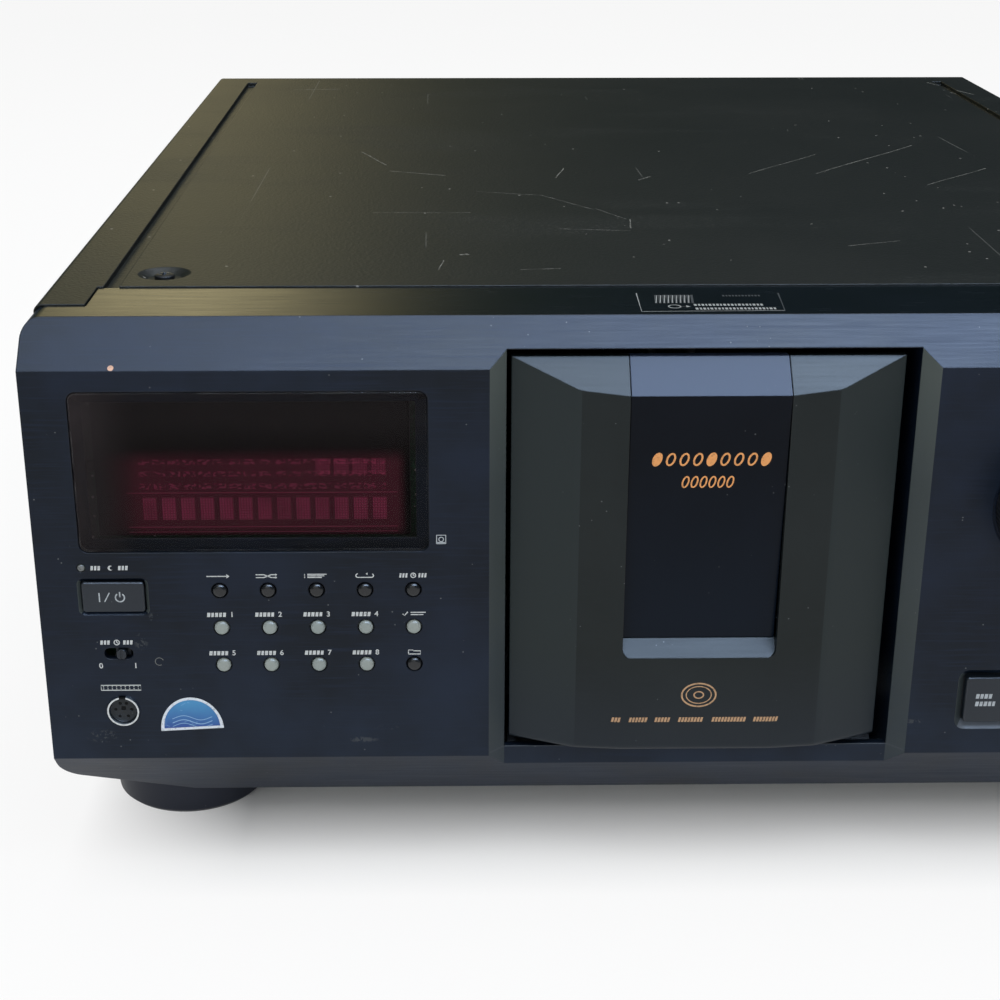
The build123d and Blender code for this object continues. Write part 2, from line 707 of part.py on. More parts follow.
def case_screws():
    top = [Pos(side * dish_x, dish_depth, case_height - dish_drop) * screw(4.5) for side in (-1, 1)]
    rear_place = Pos(0, body_depth, case_height - rear_screw_drop)
    rear = [rear_place * Pos(x, 0, 0) * Rot(-90, 0, 0) * screw(4.5) for x in rear_screw_x]
    return Compound(top + rear)


jack_left, jack_right, jack_low, jack_high = 62.0, 132.0, 44.0, 78.0
gland_x, gland_z, gland_radius = -half_width + 47, 58.0, 6.0
pieces["top_cover"] = top_cover()
pieces["chassis_base"] = chassis_base()
pieces["rear_panel"] = rear_panel()
for end, depth in (("front", front_foot_depth), ("rear", body_depth - rear_foot_margin)):
    pieces["foot_" + end + "_left"] = foot(-foot_x, depth)
    pieces["foot_" + end + "_right"] = foot(foot_x, depth)
pieces["case_screws"] = case_screws()


def jack_panel():
    """A plastic plate with two phono sockets, an optical socket and two small control sockets."""
    front = body_depth - sheet
    face = front + 1.6
    tip = body_depth + rear_proud
    middle = (jack_low + jack_high) / 2
    plate_ = block(jack_left, jack_right, front, face, jack_low, jack_high)
    plate_ += block(jack_left + 4.2, jack_right - 4.2, front - 14, front, jack_low + 4.2, jack_high - 4.2)
    for x in (jack_left + 10, jack_left + 24):
        plate_ += rod_back(x, middle, 6.0, face - 0.5, face + 1.2)
        plate_ += rod_back(x, middle, 4.15, face, tip)
        plate_ -= rod_back(x, middle, 1.7, tip - 9, tip + 1)
    plate_ += block(jack_left + 33, jack_left + 44, face, face + 4, middle - 6, middle + 6)
    for x in (jack_left + 51, jack_left + 62):
        plate_ += rod_back(x, middle, 4.0, face - 0.5, face + 1.5)
        plate_ -= rod_back(x, middle, 1.8, face - 8, face + 2)
    return plate_


def cord_gland():
    """The grommet that holds the mains lead, tapered outwards, with its bore."""
    rear = body_depth - sheet
    inside = rear - base_sheet
    side = outline((0, rear - 8), (gland_radius + 2, rear - 8), (gland_radius + 2, inside),
                   (gland_radius, inside), (gland_radius, rear), (gland_radius + 1.6, rear),
                   (gland_radius + 1.0, rear + 3), (4.6, body_depth + 9), (0, body_depth + 9))
    turned = revolve(Plane.XY * side, axis=Axis.Y)
    return Pos(gland_x, 0, gland_z) * turned - rod_back(gland_x, gland_z, 3.2, rear - 9, body_depth + 10)


pieces["jack_panel"] = jack_panel()
pieces["cord_gland"] = cord_gland()


# ---------------------------------------------------------------- rotary table
ring_pitch_radius = ring_teeth * ring_module / 2
table_pinion_reach = ring_pitch_radius - table_pinion_teeth * ring_module / 2


def table_fin():
    """One fin between two slots, along +X: its outline in plan, cut by its sloping side profile."""
    half_pitch = pi / slot_count
    inner, outer = slot_inner_radius - 1, table_radius
    slope = (slot_outer_width - slot_inner_width) / (table_radius - slot_inner_radius)
    half = [half_pitch * r - (slot_inner_width + slope * (r - slot_inner_radius)) / 2 for r in (inner, outer)]
    plan = outline((inner, -half[0]), (outer, -half[1]), (outer, half[1]), (inner, half[0]))
    side = outline((inner, slot_floor - 1), (outer, slot_floor - 1), (outer, slot_floor + fin_outer_height),
                   (slot_inner_radius, slot_floor + fin_inner_height), (inner, slot_floor + fin_inner_height))
    return plate(plan, table_floor, case_height) & slab(side, -beyond, beyond)


def rotary_table():
    """A ring of radial disc slots. Its fins rise from the rim to the inner wall."""
    half_pitch = 180 / slot_count
    rim = RegularPolygon(table_radius, slot_count, major_radius=False)
    hub = RegularPolygon(slot_inner_radius, slot_count)
    bore = Circle(table_bore)
    table = plate(Rot(0, 0, half_pitch) * rim - bore, table_floor, slot_floor)
    table += plate(hub - bore, table_floor, slot_floor + fin_inner_height)
    fin = table_fin()
    table += [Rot(0, 0, 2 * half_pitch * i) * fin for i in range(slot_count)]
    teeth = gear_outline(ring_teeth, ring_module, addendum=1.25, dedendum=1.0, slack=-mesh_slack)
    band = Circle(ring_pitch_radius + 3 * ring_module) - teeth
    table += plate(band, table_floor - ring_gear_height, table_floor)
    return Pos(0, table_depth, 0) * table


def table_bearing_ring():
    """The fixed ring the table runs on: an outer rail under its floor and an inner guide in its bore."""
    rail_inner = ring_pitch_radius + 3 * ring_module + 3
    rail_outer = rail_inner + 5
    guide_outer = table_bore - running_gap
    floor_top = chassis_top + 2
    section = outline(
        (guide_outer - 5, chassis_top), (rail_outer, chassis_top), (rail_outer, table_floor - running_gap),
        (rail_inner, table_floor - running_gap), (rail_inner, floor_top), (guide_outer, floor_top),
        (guide_outer, slot_floor), (guide_outer - 5, slot_floor))
    ring = revolve(Plane.XZ * section, axis=Axis.Z)
    ring -= Pos(-table_pinion_reach, 0, 0) * rod_up(0, 0, pinion_room, floor_top, slot_floor + 1)
    return Pos(0, table_depth, 0) * ring


def table_drive_gear():
    teeth = gear_outline(table_pinion_teeth, ring_module)
    low = table_floor - ring_gear_height
    gear = plate(teeth, low, table_floor - 2)
    gear += rod_up(0, 0, 5.0, table_floor - 2, table_floor)
    gear += rod_up(0, 0, 1.5, low, motor_plate_top + 8)
    return Pos(-table_pinion_reach, table_depth, 0) * gear


def table_motor():
    """The can stands on a bracket above its gear."""
    x = -table_pinion_reach
    leg = x + pinion_room + 1
    can = rod_up(x, table_depth, motor_radius, motor_plate_top, motor_plate_top + 26)
    bracket = block(x - 8, leg + 1.6, table_depth - 11, table_depth + 11, motor_plate_top - 1.6,
                    motor_plate_top)
    bracket += block(leg, leg + 1.6, table_depth - 11, table_depth + 11, chassis_top, motor_plate_top)
    bracket += block(leg, leg + 6, table_depth - 11, table_depth + 11, chassis_top, chassis_top + 1.6)
    return can + bracket - rod_up(x, table_depth, 1.5 + pin_fit, motor_plate_top - 2, motor_plate_top + 9)


pinion_room = table_pinion_teeth * ring_module / 2 + ring_module + 2
motor_plate_top = slot_floor + 3
pieces["rotary_table"] = rotary_table()
pieces["table_bearing_ring"] = table_bearing_ring()
pieces["table_drive_gear"] = table_drive_gear()
pieces["table_motor"] = table_motor()


# ---------------------------------------------------------------- disc deck, in the middle of the table
deck_wall_x = -13.0       # the spindle side's wall, its face towards the disc
clamp_wall_x = 17.0
clamp_bay = 16.0          # from one clamp wall to the next
deck_front, deck_back = -42.0, 48.0
deck_foot = 1.8
rod_radius = 1.5
rod_spread = 14.0
pickup_inner = 34.0       # from the spindle's axis down to the pickup's middle at rest
pickup_travel = 26.0
clamp_pivot_height = 48.0
clamp_swing = 4.0         # degrees
clamp_teeth = 28
clamp_gear_teeth = 12


def deck_frame():
    low = chassis_top
    frame = block(-30, clamp_wall_x + clamp_bay + deck_wall, table_depth + deck_front,
                  table_depth + deck_back, low, low + deck_foot)
    profile = outline((deck_front, low), (deck_back, low), (deck_back, 110), (deck_back - 16, deck_top),
                      (deck_front + 16, deck_top), (deck_front, 110))
    wall_ = bar(Pos(table_depth, 0) * profile, deck_wall_x - deck_wall, deck_wall_x)
    wall_ -= bar(Pos(table_depth, spindle_height - pickup_inner - pickup_travel / 2) * Rectangle(
        2 * rod_spread - 6, pickup_travel + 22), deck_wall_x - deck_wall - 1, deck_wall_x + 1)
    wall_ -= rod_across(table_depth, spindle_height, 3.0, deck_wall_x - deck_wall - 1, deck_wall_x + 1)
    frame += wall_
    for left in (clamp_wall_x, clamp_wall_x + clamp_bay):
        frame += block(left, left + deck_wall, table_depth - 22, table_depth + 22, low,
                       clamp_pivot_height - 12)
    for depth in (table_depth - 22, table_depth + 22 - deck_wall):
        cheek = block(clamp_wall_x, clamp_wall_x + clamp_bay + deck_wall, depth, depth + deck_wall, low,
                      clamp_pivot_height + 6)
        frame += cheek - rod_back(clamp_pivot_x, clamp_pivot_height, pin_radius + pin_fit, depth - 1,
                                  depth + deck_wall + 1)
    # lugs that hold the pickup's rods
    for z in (rod_low, rod_high - 5):
        for side in (-1, 1):
            depth = table_depth + side * rod_spread
            lug = block(rod_x - 3.5, deck_wall_x - deck_wall, depth - 3.5, depth + 3.5, z, z + 5)
            frame += lug - rod_up(rod_x, depth, rod_radius + pin_fit, z - 1, z + 6)
    return frame


def spindle_turntable():
    disc_face = -0.9
    table = rod_across(table_depth, spindle_height, spindle_radius, disc_face - 2.6, disc_face)
    cone = rod_across(table_depth, spindle_height, 7.3, disc_face, disc_face + 1.4)
    shaft = rod_across(table_depth, spindle_height, 1.5, deck_wall_x - deck_wall - 8, disc_face)
    return table + cone + shaft


def spindle_motor():
    left = deck_wall_x - deck_wall
    can = rod_across(table_depth, spindle_height, 11.0, left - 11, left)
    return can - rod_across(table_depth, spindle_height, 1.5 + pin_fit, left - 9, left + 1)


def optical_pickup():
    """A sled on the two rods, with the lens looking through the deck's wall at the disc."""
    middle = spindle_height - pickup_inner
    sled = block(rod_x - 4.5, rod_x + 4.5, table_depth - rod_spread - 4, table_depth + rod_spread + 4,
                 middle - 9, middle + 9)
    for side in (-1, 1):
        sled -= rod_up(rod_x, table_depth + side * rod_spread, rod_radius + pin_fit, middle - 10, middle + 10)
    head = block(rod_x + 4.5, deck_wall_x + 2, table_depth - 8, table_depth + 8, middle - 7, middle + 7)
    lens = rod_across(table_depth, middle, 3.2, deck_wall_x + 2, deck_wall_x + 4)
    return sled + head + lens


def pickup_rods():
    rods = [rod_up(rod_x, table_depth + side * rod_spread, rod_radius, rod_low, rod_high)
            for side in (-1, 1)]
    return Compound(rods)


def clamp_arm():
    """The arm that presses the disc on the spindle, with its puck, pivot pin and toothed foot."""
    face = clamp_pivot_x + 1.5
    arm = outline((-7, clamp_pivot_height - 5), (7, clamp_pivot_height - 5), (7, 60),
                  (5, spindle_height + 14), (-5, spindle_height + 14), (-7, 60))
    arm = bar(Pos(table_depth, 0) * arm, face - 3, face)
    puck = rod_across(table_depth, spindle_height, 13.0, puck_face, puck_face + 4)
    puck += rod_across(table_depth, spindle_height, 4.0, puck_face + 4, face - 2)
    pin = rod_back(clamp_pivot_x, clamp_pivot_height, pin_radius, table_depth - 22, table_depth + 22)
    hub = rod_back(clamp_pivot_x, clamp_pivot_height, pin_radius + 2.5, table_depth - 7, table_depth + 16)
    sector = gear_outline(clamp_teeth, 0.8, turn=-90) & (wedge(-115, -65, 30) + Circle(pin_radius + 2.5))
    sector = slab(Pos(clamp_pivot_x, clamp_pivot_height) * sector, table_depth + 11, table_depth + 15)
    return arm + puck + pin + hub + sector


def clamp_drive_gear():
    z = clamp_gear_height
    turn = 90 + 180 / clamp_gear_teeth
    teeth = Pos(clamp_pivot_x, z) * gear_outline(clamp_gear_teeth, 0.8, turn=turn)
    gear = slab(teeth, table_depth + 11.3, table_depth + 14.7)
    return gear + rod_back(clamp_pivot_x, z, small_shaft, table_depth - 1, table_depth + 14.7)


def clamp_motor():
    z = clamp_gear_height
    can = rod_back(clamp_pivot_x, z, 4.4, table_depth - 19, table_depth + 8)
    bed = block(clamp_pivot_x - 3.4, clamp_pivot_x + 3.4, table_depth - 16, table_depth + 6,
                chassis_top + deck_foot, z - 2)
    return can + bed - rod_back(clamp_pivot_x, z, small_shaft + pin_fit, table_depth - 2, table_depth + 9)


rod_x = deck_wall_x - deck_wall - 7
rod_low = spindle_height - pickup_inner - pickup_travel - 16
rod_high = spindle_height - pickup_inner + 16
clamp_pivot_x = clamp_wall_x + (clamp_bay + deck_wall) / 2
puck_face = 6.0
clamp_gear_height = clamp_pivot_height - 0.4 * (clamp_teeth + clamp_gear_teeth)
pieces["deck_frame"] = deck_frame()
pieces["spindle_turntable"] = spindle_turntable()
pieces["spindle_motor"] = spindle_motor()
pieces["optical_pickup"] = optical_pickup()
pieces["pickup_rods"] = pickup_rods()
pieces["clamp_arm"] = clamp_arm()
pieces["clamp_drive_gear"] = clamp_drive_gear()
pieces["clamp_motor"] = clamp_motor()


# ---------------------------------------------------------------- loading lever
def loading_lever():
    """An arm over the discs whose finger rolls a disc from its slot into the deck."""
    post = (lever_post_x, table_depth + lever_post_y)
    tip = (0.0, table_depth + finger_reach)
    length = sqrt((tip[0] - post[0]) ** 2 + (tip[1] - post[1]) ** 2)
    heading = degrees(acos((tip[0] - post[0]) / length))
    at_post = Pos(post[0], post[1]) * Rot(0, 0, heading)
    arm = Pos(length / 2, 0) * Rectangle(length, 9.0)
    arm += Pos(length, 0) * Circle(4.5)
    arm_low = lever_height + 3.4
    lever = plate(at_post * arm, arm_low, arm_low + 3.6)
    lever += plate(at_post * Circle(8.0), lever_height, arm_low + 5.4)
    finger = at_post * Pos(length, 0) * RectangleRounded(6.0, 5.0, 1.2)
    lever += plate(finger, finger_low, arm_low + 1)
    sector = gear_outline(lever_teeth, 1.0, turn=lever_mesh_angle) & (wedge(
        lever_mesh_angle - 62, lever_mesh_angle + 12, 50) + Circle(8.0))
    lever += plate(Pos(*post) * sector, lever_height, lever_height + 3.0)
    return lever - rod_up(*post, lever_post_radius - 1 + pin_fit, lever_height - 1, lever_post_top + 1)


def loading_drive_gear():
    teeth = Pos(*lever_gear_place) * gear_outline(
        pinion_teeth, 1.0, turn=lever_mesh_angle + 180 + 180 / pinion_teeth)
    gear = plate(teeth, lever_height + 0.2, lever_height + 2.8)
    return gear + rod_up(*lever_gear_place, small_shaft, lever_motor_top - 9, lever_height + 2.8)


def loading_motor():
    x, depth = lever_gear_place
    can = rod_up(x, depth, motor_radius, lever_motor_top - 26, lever_motor_top)
    leg_back = depth + motor_radius + 1.6
    bracket = block(x - 12, x + 12, depth - 4, leg_back, lever_motor_top, lever_motor_top + 1.6)
    bracket += block(x - 12, x + 12, leg_back - 1.6, leg_back, chassis_top, lever_motor_top)
    bracket += block(x - 12, x + 12, leg_back - 8, leg_back, chassis_top, chassis_top + 1.6)
    return can + bracket - rod_up(x, depth, small_shaft + pin_fit, lever_motor_top - 10, lever_motor_top + 2)


lever_mesh_angle = 0.0
lever_gear_reach = (lever_teeth + pinion_teeth) / 2
lever_gear_place = (lever_post_x + lever_gear_reach * cos(radians(lever_mesh_angle)),
                    table_depth + lever_post_y + lever_gear_reach * sin(radians(lever_mesh_angle)))
lever_motor_top = lever_height - 4
pieces["loading_lever"] = loading_lever()
pieces["loading_drive_gear"] = loading_drive_gear()
pieces["loading_motor"] = loading_motor()


# ---------------------------------------------------------------- electronics behind the table
def main_board():
    """The board on four studs, with capacitors and a heat sink."""
    front, back = table_depth + table_radius + 4, body_depth - 8
    low = chassis_top + 7
    board = block(-124, 116, front, back, low, low + board_thickness)
    for x in (-118, 110):
        for depth in (front + 6, back - 6):
            board += rod_up(x, depth, 3.0, chassis_top, low)
    for x, radius, tall in ((-104, 9.0, 30), (-82, 9.0, 30), (-62, 5.0, 16), (-30, 4.0, 12), (40, 5.0, 14)):
        board += rod_up(x, (front + back) / 2 + 6, radius, low, low + tall)
    for i in range(5):
        board += block(-12 + 6 * i, -10.5 + 6 * i, front + 24, front + 42, low, low + 34)
    board += block(-12, 13.5, front + 31.5, front + 34, low, low + 34)
    board += block(60, 84, front + 14, front + 38, low, low + 4)
    return board


def power_transformer():
    """A laminated core round its winding, on a foot plate in the left rear corner."""
    left, back, low = -half_width + 9, body_depth - 14, chassis_top
    core = block(left + 4, left + 62, back - 44, back - 12, low + 1.6, low + 50)
    winding = block(left + 18, left + 48, back - 52, back - 4, low + 10, low + 42)
    foot_plate = block(left, left + 66, back - 42, back - 14, low, low + 1.6)
    coil = fillet(winding.edges().filter_by(Axis.Z), 5)
    return core + coil + foot_plate


pieces["main_board"] = main_board()
pieces["power_transformer"] = power_transformer()

# ---------------------------------------------------------------- move to the part's origin and write
shift_to_origin = Pos(0, dial_proud - (dial_proud + body_depth + rear_proud) / 2, 0)
os.makedirs("parts", exist_ok=True)
for name, shape in pieces.items():
    placed = shift_to_origin * shape
    export_step(placed, os.path.join("parts", name + ".step"))
print(len(pieces), "pieces written")
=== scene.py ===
import functools
import json
from math import cos, pi, radians, sin, sqrt
import bmesh
import bpy
import numpy as np
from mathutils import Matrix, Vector

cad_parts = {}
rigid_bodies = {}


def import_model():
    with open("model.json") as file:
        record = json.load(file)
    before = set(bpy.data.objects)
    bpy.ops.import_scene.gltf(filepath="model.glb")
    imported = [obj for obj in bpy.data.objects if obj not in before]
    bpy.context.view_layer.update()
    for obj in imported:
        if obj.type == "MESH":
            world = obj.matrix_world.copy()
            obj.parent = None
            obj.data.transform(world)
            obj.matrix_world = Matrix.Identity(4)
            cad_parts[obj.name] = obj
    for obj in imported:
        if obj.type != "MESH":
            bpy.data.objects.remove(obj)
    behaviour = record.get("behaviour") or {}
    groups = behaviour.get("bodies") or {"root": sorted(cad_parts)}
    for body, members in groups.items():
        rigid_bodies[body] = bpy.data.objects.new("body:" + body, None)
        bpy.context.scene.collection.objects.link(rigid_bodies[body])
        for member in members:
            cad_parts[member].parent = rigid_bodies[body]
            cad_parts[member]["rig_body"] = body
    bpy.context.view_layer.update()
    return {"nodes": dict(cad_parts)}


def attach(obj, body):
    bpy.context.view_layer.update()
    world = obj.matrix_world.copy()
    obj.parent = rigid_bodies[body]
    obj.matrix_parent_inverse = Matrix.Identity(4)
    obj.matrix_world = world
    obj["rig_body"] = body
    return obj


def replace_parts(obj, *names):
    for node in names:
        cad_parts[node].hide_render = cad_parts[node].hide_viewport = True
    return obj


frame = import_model()
nodes = frame["nodes"]
scene = bpy.context.scene
print("frame loaded:", len(nodes), "nodes")

mm = 0.001
depthShift = -254.5  # depth behind the fascia's front face, in mm, to the frame's Y


class Sock:  # one output of a shader node, so that sums are written as sums
    def __init__(self, tree, out):
        self.tree, self.out = tree, out

    def maths(self, operation, *others, clamp=False):
        node = self.tree.nodes.new("ShaderNodeMath")
        node.operation = operation
        node.use_clamp = clamp
        for place, item in enumerate((self, *others)):
            plug(self.tree, node.inputs[place], item)
        return Sock(self.tree, node.outputs[0])

    def __add__(self, other): return self.maths("ADD", other)
    def __sub__(self, other): return self.maths("SUBTRACT", other)
    def __rsub__(self, other): return self.maths("MULTIPLY_ADD", -1.0, other)
    def __mul__(self, other): return self.maths("MULTIPLY", other)
    def __truediv__(self, other): return self.maths("DIVIDE", other)
    def __gt__(self, other): return self.maths("GREATER_THAN", other)
    def __lt__(self, other): return self.maths("LESS_THAN", other)
    def __abs__(self): return self.maths("ABSOLUTE")
    __radd__, __rmul__ = __add__, __mul__

    def clamped(self): return self.maths("ADD", 0.0, clamp=True)
    def sine(self): return self.maths("SINE")
    def frac(self): return self.maths("FRACT")
    def most(self, other): return self.maths("MAXIMUM", other)

    def ramp(self, low, high):  # 0 below low, 1 above high, straight between
        return ((self - low) / (high - low)).clamped()


def plug(tree, socket, item):
    if isinstance(item, Sock):
        tree.links.new(item.out, socket)
    elif item is not None:
        socket.default_value = item


class Finish:  # one material while it is put together
    def __init__(self, name):
        self.material = bpy.data.materials.new(name)
        self.material.use_nodes = True
        self.tree = self.material.node_tree
        self.tree.nodes.clear()
        self.output = self.tree.nodes.new("ShaderNodeOutputMaterial")
        self.place = self.node("ShaderNodeTexCoord", out="Object")
        self.x, self.y, self.z = self.split(self.place)

    def node(self, kind, settings=None, values=None, out=0):
        node = self.tree.nodes.new(kind)
        for key, value in (settings or {}).items():
            setattr(node, key, value)
        for key, value in (values or {}).items():
            plug(self.tree, node.inputs[key], value)
        return Sock(self.tree, node.outputs[out])

    def split(self, vector):
        parts = self.tree.nodes.new("ShaderNodeSeparateXYZ")
        self.tree.links.new(vector.out, parts.inputs[0])
        return [Sock(self.tree, o) for o in parts.outputs]

    def stretched(self, scales, turn=0.0):  # the coordinates, turned about Z and scaled along each axis
        return self.node("ShaderNodeMapping", values={
            "Vector": self.place, "Rotation": (0.0, 0.0, turn), "Scale": scales})

    def noise(self, scale, detail=2.0, rough=0.5, at=None):
        return self.node("ShaderNodeTexNoise", values={
            "Vector": at or self.place, "Scale": scale, "Detail": detail, "Roughness": rough})

    def cells(self, scale, feature="F1", at=None):
        return self.node("ShaderNodeTexVoronoi", {"feature": feature}, {
            "Vector": at or self.place, "Scale": scale}, out="Distance")

    def blend(self, share, first, second):  # a colour between two, by a share from 0 to 1
        node = self.tree.nodes.new("ShaderNodeMix")
        node.data_type = "RGBA"
        for place, item in ((0, share), (6, first), (7, second)):
            if isinstance(item, tuple):
                item = (*item, 1.0)[:4]
            plug(self.tree, node.inputs[place], item)
        return Sock(self.tree, node.outputs[2])

    def painted(self, colour, *coats):  # each colour laid over the one before by its share
        for share, over in coats:
            colour = self.blend(share, colour, over)
        return colour

    def bump(self, height, distance, strength=1.0, under=None):
        return self.node("ShaderNodeBump", values={
            "Height": height, "Distance": distance, "Strength": strength, "Normal": under})

    def facing(self):  # the surface's own direction, as three numbers
        return self.split(self.node("ShaderNodeNewGeometry", out="Normal"))

    def softened(self, radius):  # the surface's direction, rounded over its edges
        return self.node("ShaderNodeBevel", {"samples": 6}, {"Radius": radius})

    def rim(self, soft):  # near 1 along the edges, from how far the rounded direction leans
        flat = self.node("ShaderNodeNewGeometry", out="Normal")
        dot = {"operation": "DOT_PRODUCT"}
        return (1 - self.node("ShaderNodeVectorMath", dot, {0: soft, 1: flat}, out="Value")).ramp(0.03, 0.2)

    def specks(self, look):  # small dots in some cells, thinned out by a slow noise
        scale, size, share, patch = look
        return (self.cells(scale) < size) * (self.noise(patch, 2.0) > share)

    def most(self, shares):  # the largest of several, as where any of several marks lies
        return functools.reduce(Sock.most, shares)

    def coat(self, colour, rough, gloss=None, normal=None, **more):  # the shader itself
        shader = self.tree.nodes.new("ShaderNodeBsdfPrincipled")
        rough = rough.clamped() if isinstance(rough, Sock) else rough
        more.update({"Base Color": colour, "Roughness": rough, "Specular IOR Level": gloss, "Normal": normal})
        for key, value in more.items():
            plug(self.tree, shader.inputs[key], value)
        self.tree.links.new(shader.outputs[0], self.output.inputs[0])
        return self.material


def placed(name, data):
    thing = bpy.data.objects.new(name, data)
    scene.collection.objects.link(thing)
    return thing


def addPiece(name, verts, faces, finish, body="case", smooth=False):  # verts in mm, with depth in place of Y
    place = np.asarray(verts, float) * mm + [0.0, depthShift * mm, 0.0]
    mesh = bpy.data.meshes.new(name)
    mesh.from_pydata(place.tolist(), [], [tuple(f) for f in faces])
    mesh.validate()
    mesh.polygons.foreach_set("use_smooth", [smooth] * len(mesh.polygons))
    mesh.update()
    mesh.materials.append(finishes[finish])
    piece = placed(name, mesh)
    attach(piece, body)
    return piece


def cleaned(piece, merge=1e-6):  # doubles merged and faces turned outwards
    work = bmesh.new()
    work.from_mesh(piece.data)
    bmesh.ops.remove_doubles(work, verts=work.verts, dist=merge)
    bmesh.ops.dissolve_degenerate(work, edges=work.edges, dist=merge)
    bmesh.ops.recalc_face_normals(work, faces=work.faces)
    work.to_mesh(piece.data)
    work.free()
    return piece


def gridFaces(rows, columns, wrap=False, first=0):
    # quads between neighbouring rows and columns of a grid stored row by row
    last = columns if wrap else columns - 1
    r, c = np.meshgrid(np.arange(rows - 1), np.arange(last), indexing="ij")
    here, there = r * columns + c, r * columns + (c + 1) % columns
    return (np.stack([here, there, there + columns, here + columns], -1).reshape(-1, 4) + first).tolist()


def joined(parts):  # several (verts, faces) as one
    verts, faces, first = [], [], 0
    for points, quads in parts:
        verts.append(np.asarray(points, float))
        faces += [[i + first for i in f] for f in quads]
        first += len(points)
    return np.concatenate(verts), faces


def lathe(profile, steps, centre):
    # each (radius, depth) of the profile is carried round the depth axis: r cos a, depth, r sin a
    profile = np.asarray(profile, float)
    a = np.linspace(0, 2 * pi, steps, endpoint=False)
    r, h = profile[:, 0][:, None], np.repeat(profile[:, 1][:, None], steps, 1)
    u, v = r * np.cos(a), r * np.sin(a)
    grid = np.stack((u, h, v), -1)
    return grid.reshape(-1, 3) + np.asarray(centre, float), gridFaces(len(profile), steps, wrap=True)


def brick(left, right, front, back, low, high):  # the eight corners of a block, and its six faces
    u, v, w = np.meshgrid([left, right], [front, back], [low, high], indexing="ij")
    faces = [(0, 1, 3, 2), (4, 6, 7, 5), (0, 4, 5, 1), (2, 3, 7, 6), (0, 2, 6, 4), (1, 5, 7, 3)]
    return np.stack([u, v, w], -1).reshape(-1, 3), faces


def box(left, right, low, high):  # a rectangle's four corners
    return [(left, low), (right, low), (right, high), (left, high)]


def arc(x, z, radius, start=0.0, end=360.0, steps=24, squeeze=1.0, lean=0.0):
    # part of an ellipse that may lean: x + r (squeeze cos a + lean sin a), z + r sin a
    a = np.radians(np.linspace(start, end, steps))
    return np.stack([x + radius * (squeeze * np.cos(a) + lean * np.sin(a)), z + radius * np.sin(a)], -1)


class Ink:  # printed marks in two directions, gathered and then laid on a surface
    def __init__(self):
        self.parts = []

    def line(self, width, *paths):  # a band: two lines half a width either side of each path
        for path in paths:
            p = np.asarray(path, float)
            step = np.gradient(p, axis=0)
            step /= np.linalg.norm(step, axis=1)[:, None] + 1e-9
            side = np.stack([-step[:, 1], step[:, 0]], -1) * width / 2
            both = np.stack([p - side, p + side], 1).reshape(-1, 2)
            self.parts.append((both, gridFaces(len(p), 2)))
        return self

    def fill(self, *outlines):  # one flat face inside each outline
        for points in outlines:
            p = np.asarray(points, float)
            self.parts.append((p, [list(range(len(p)))]))
        return self

    def figure(self, text, size, x, z):  # a number in Blender's own plain letters, as outlines
        curve = bpy.data.curves.new("figure", "FONT")
        curve.body, curve.size = text, size
        curve.align_x, curve.align_y, curve.offset = "CENTER", "CENTER", 0.05
        thing = bpy.data.objects.new("figure", curve)
        mesh = bpy.data.meshes.new_from_object(thing)
        flat = np.zeros(len(mesh.vertices) * 3)
        mesh.vertices.foreach_get("co", flat)
        letters = flat.reshape(-1, 3)[:, :2] + [x, z]
        self.parts.append((letters, [list(f.vertices) for f in mesh.polygons]))
        bpy.data.meshes.remove(mesh)
        bpy.data.objects.remove(thing)
        bpy.data.curves.remove(curve)
        return self

    def lay(self, name, surface, finish, body="case"):
        points, faces = joined(self.parts)
        piece = addPiece(name, surface(points), faces, finish, body)
        away = surface(np.array([[0.0, 0.0], [1.0, 0.0], [0.0, 1.0]]) + points[:1])
        out = np.cross(away[1] - away[0], away[2] - away[0])  # faces are turned to the surface's outer side
        work = bmesh.new()
        work.from_mesh(piece.data)
        work.normal_update()
        wrong = [f for f in work.faces if f.normal.dot(Vector(out)) < 0]
        bmesh.ops.reverse_faces(work, faces=wrong)
        work.to_mesh(piece.data)
        work.free()
        return piece


print("tools ready")

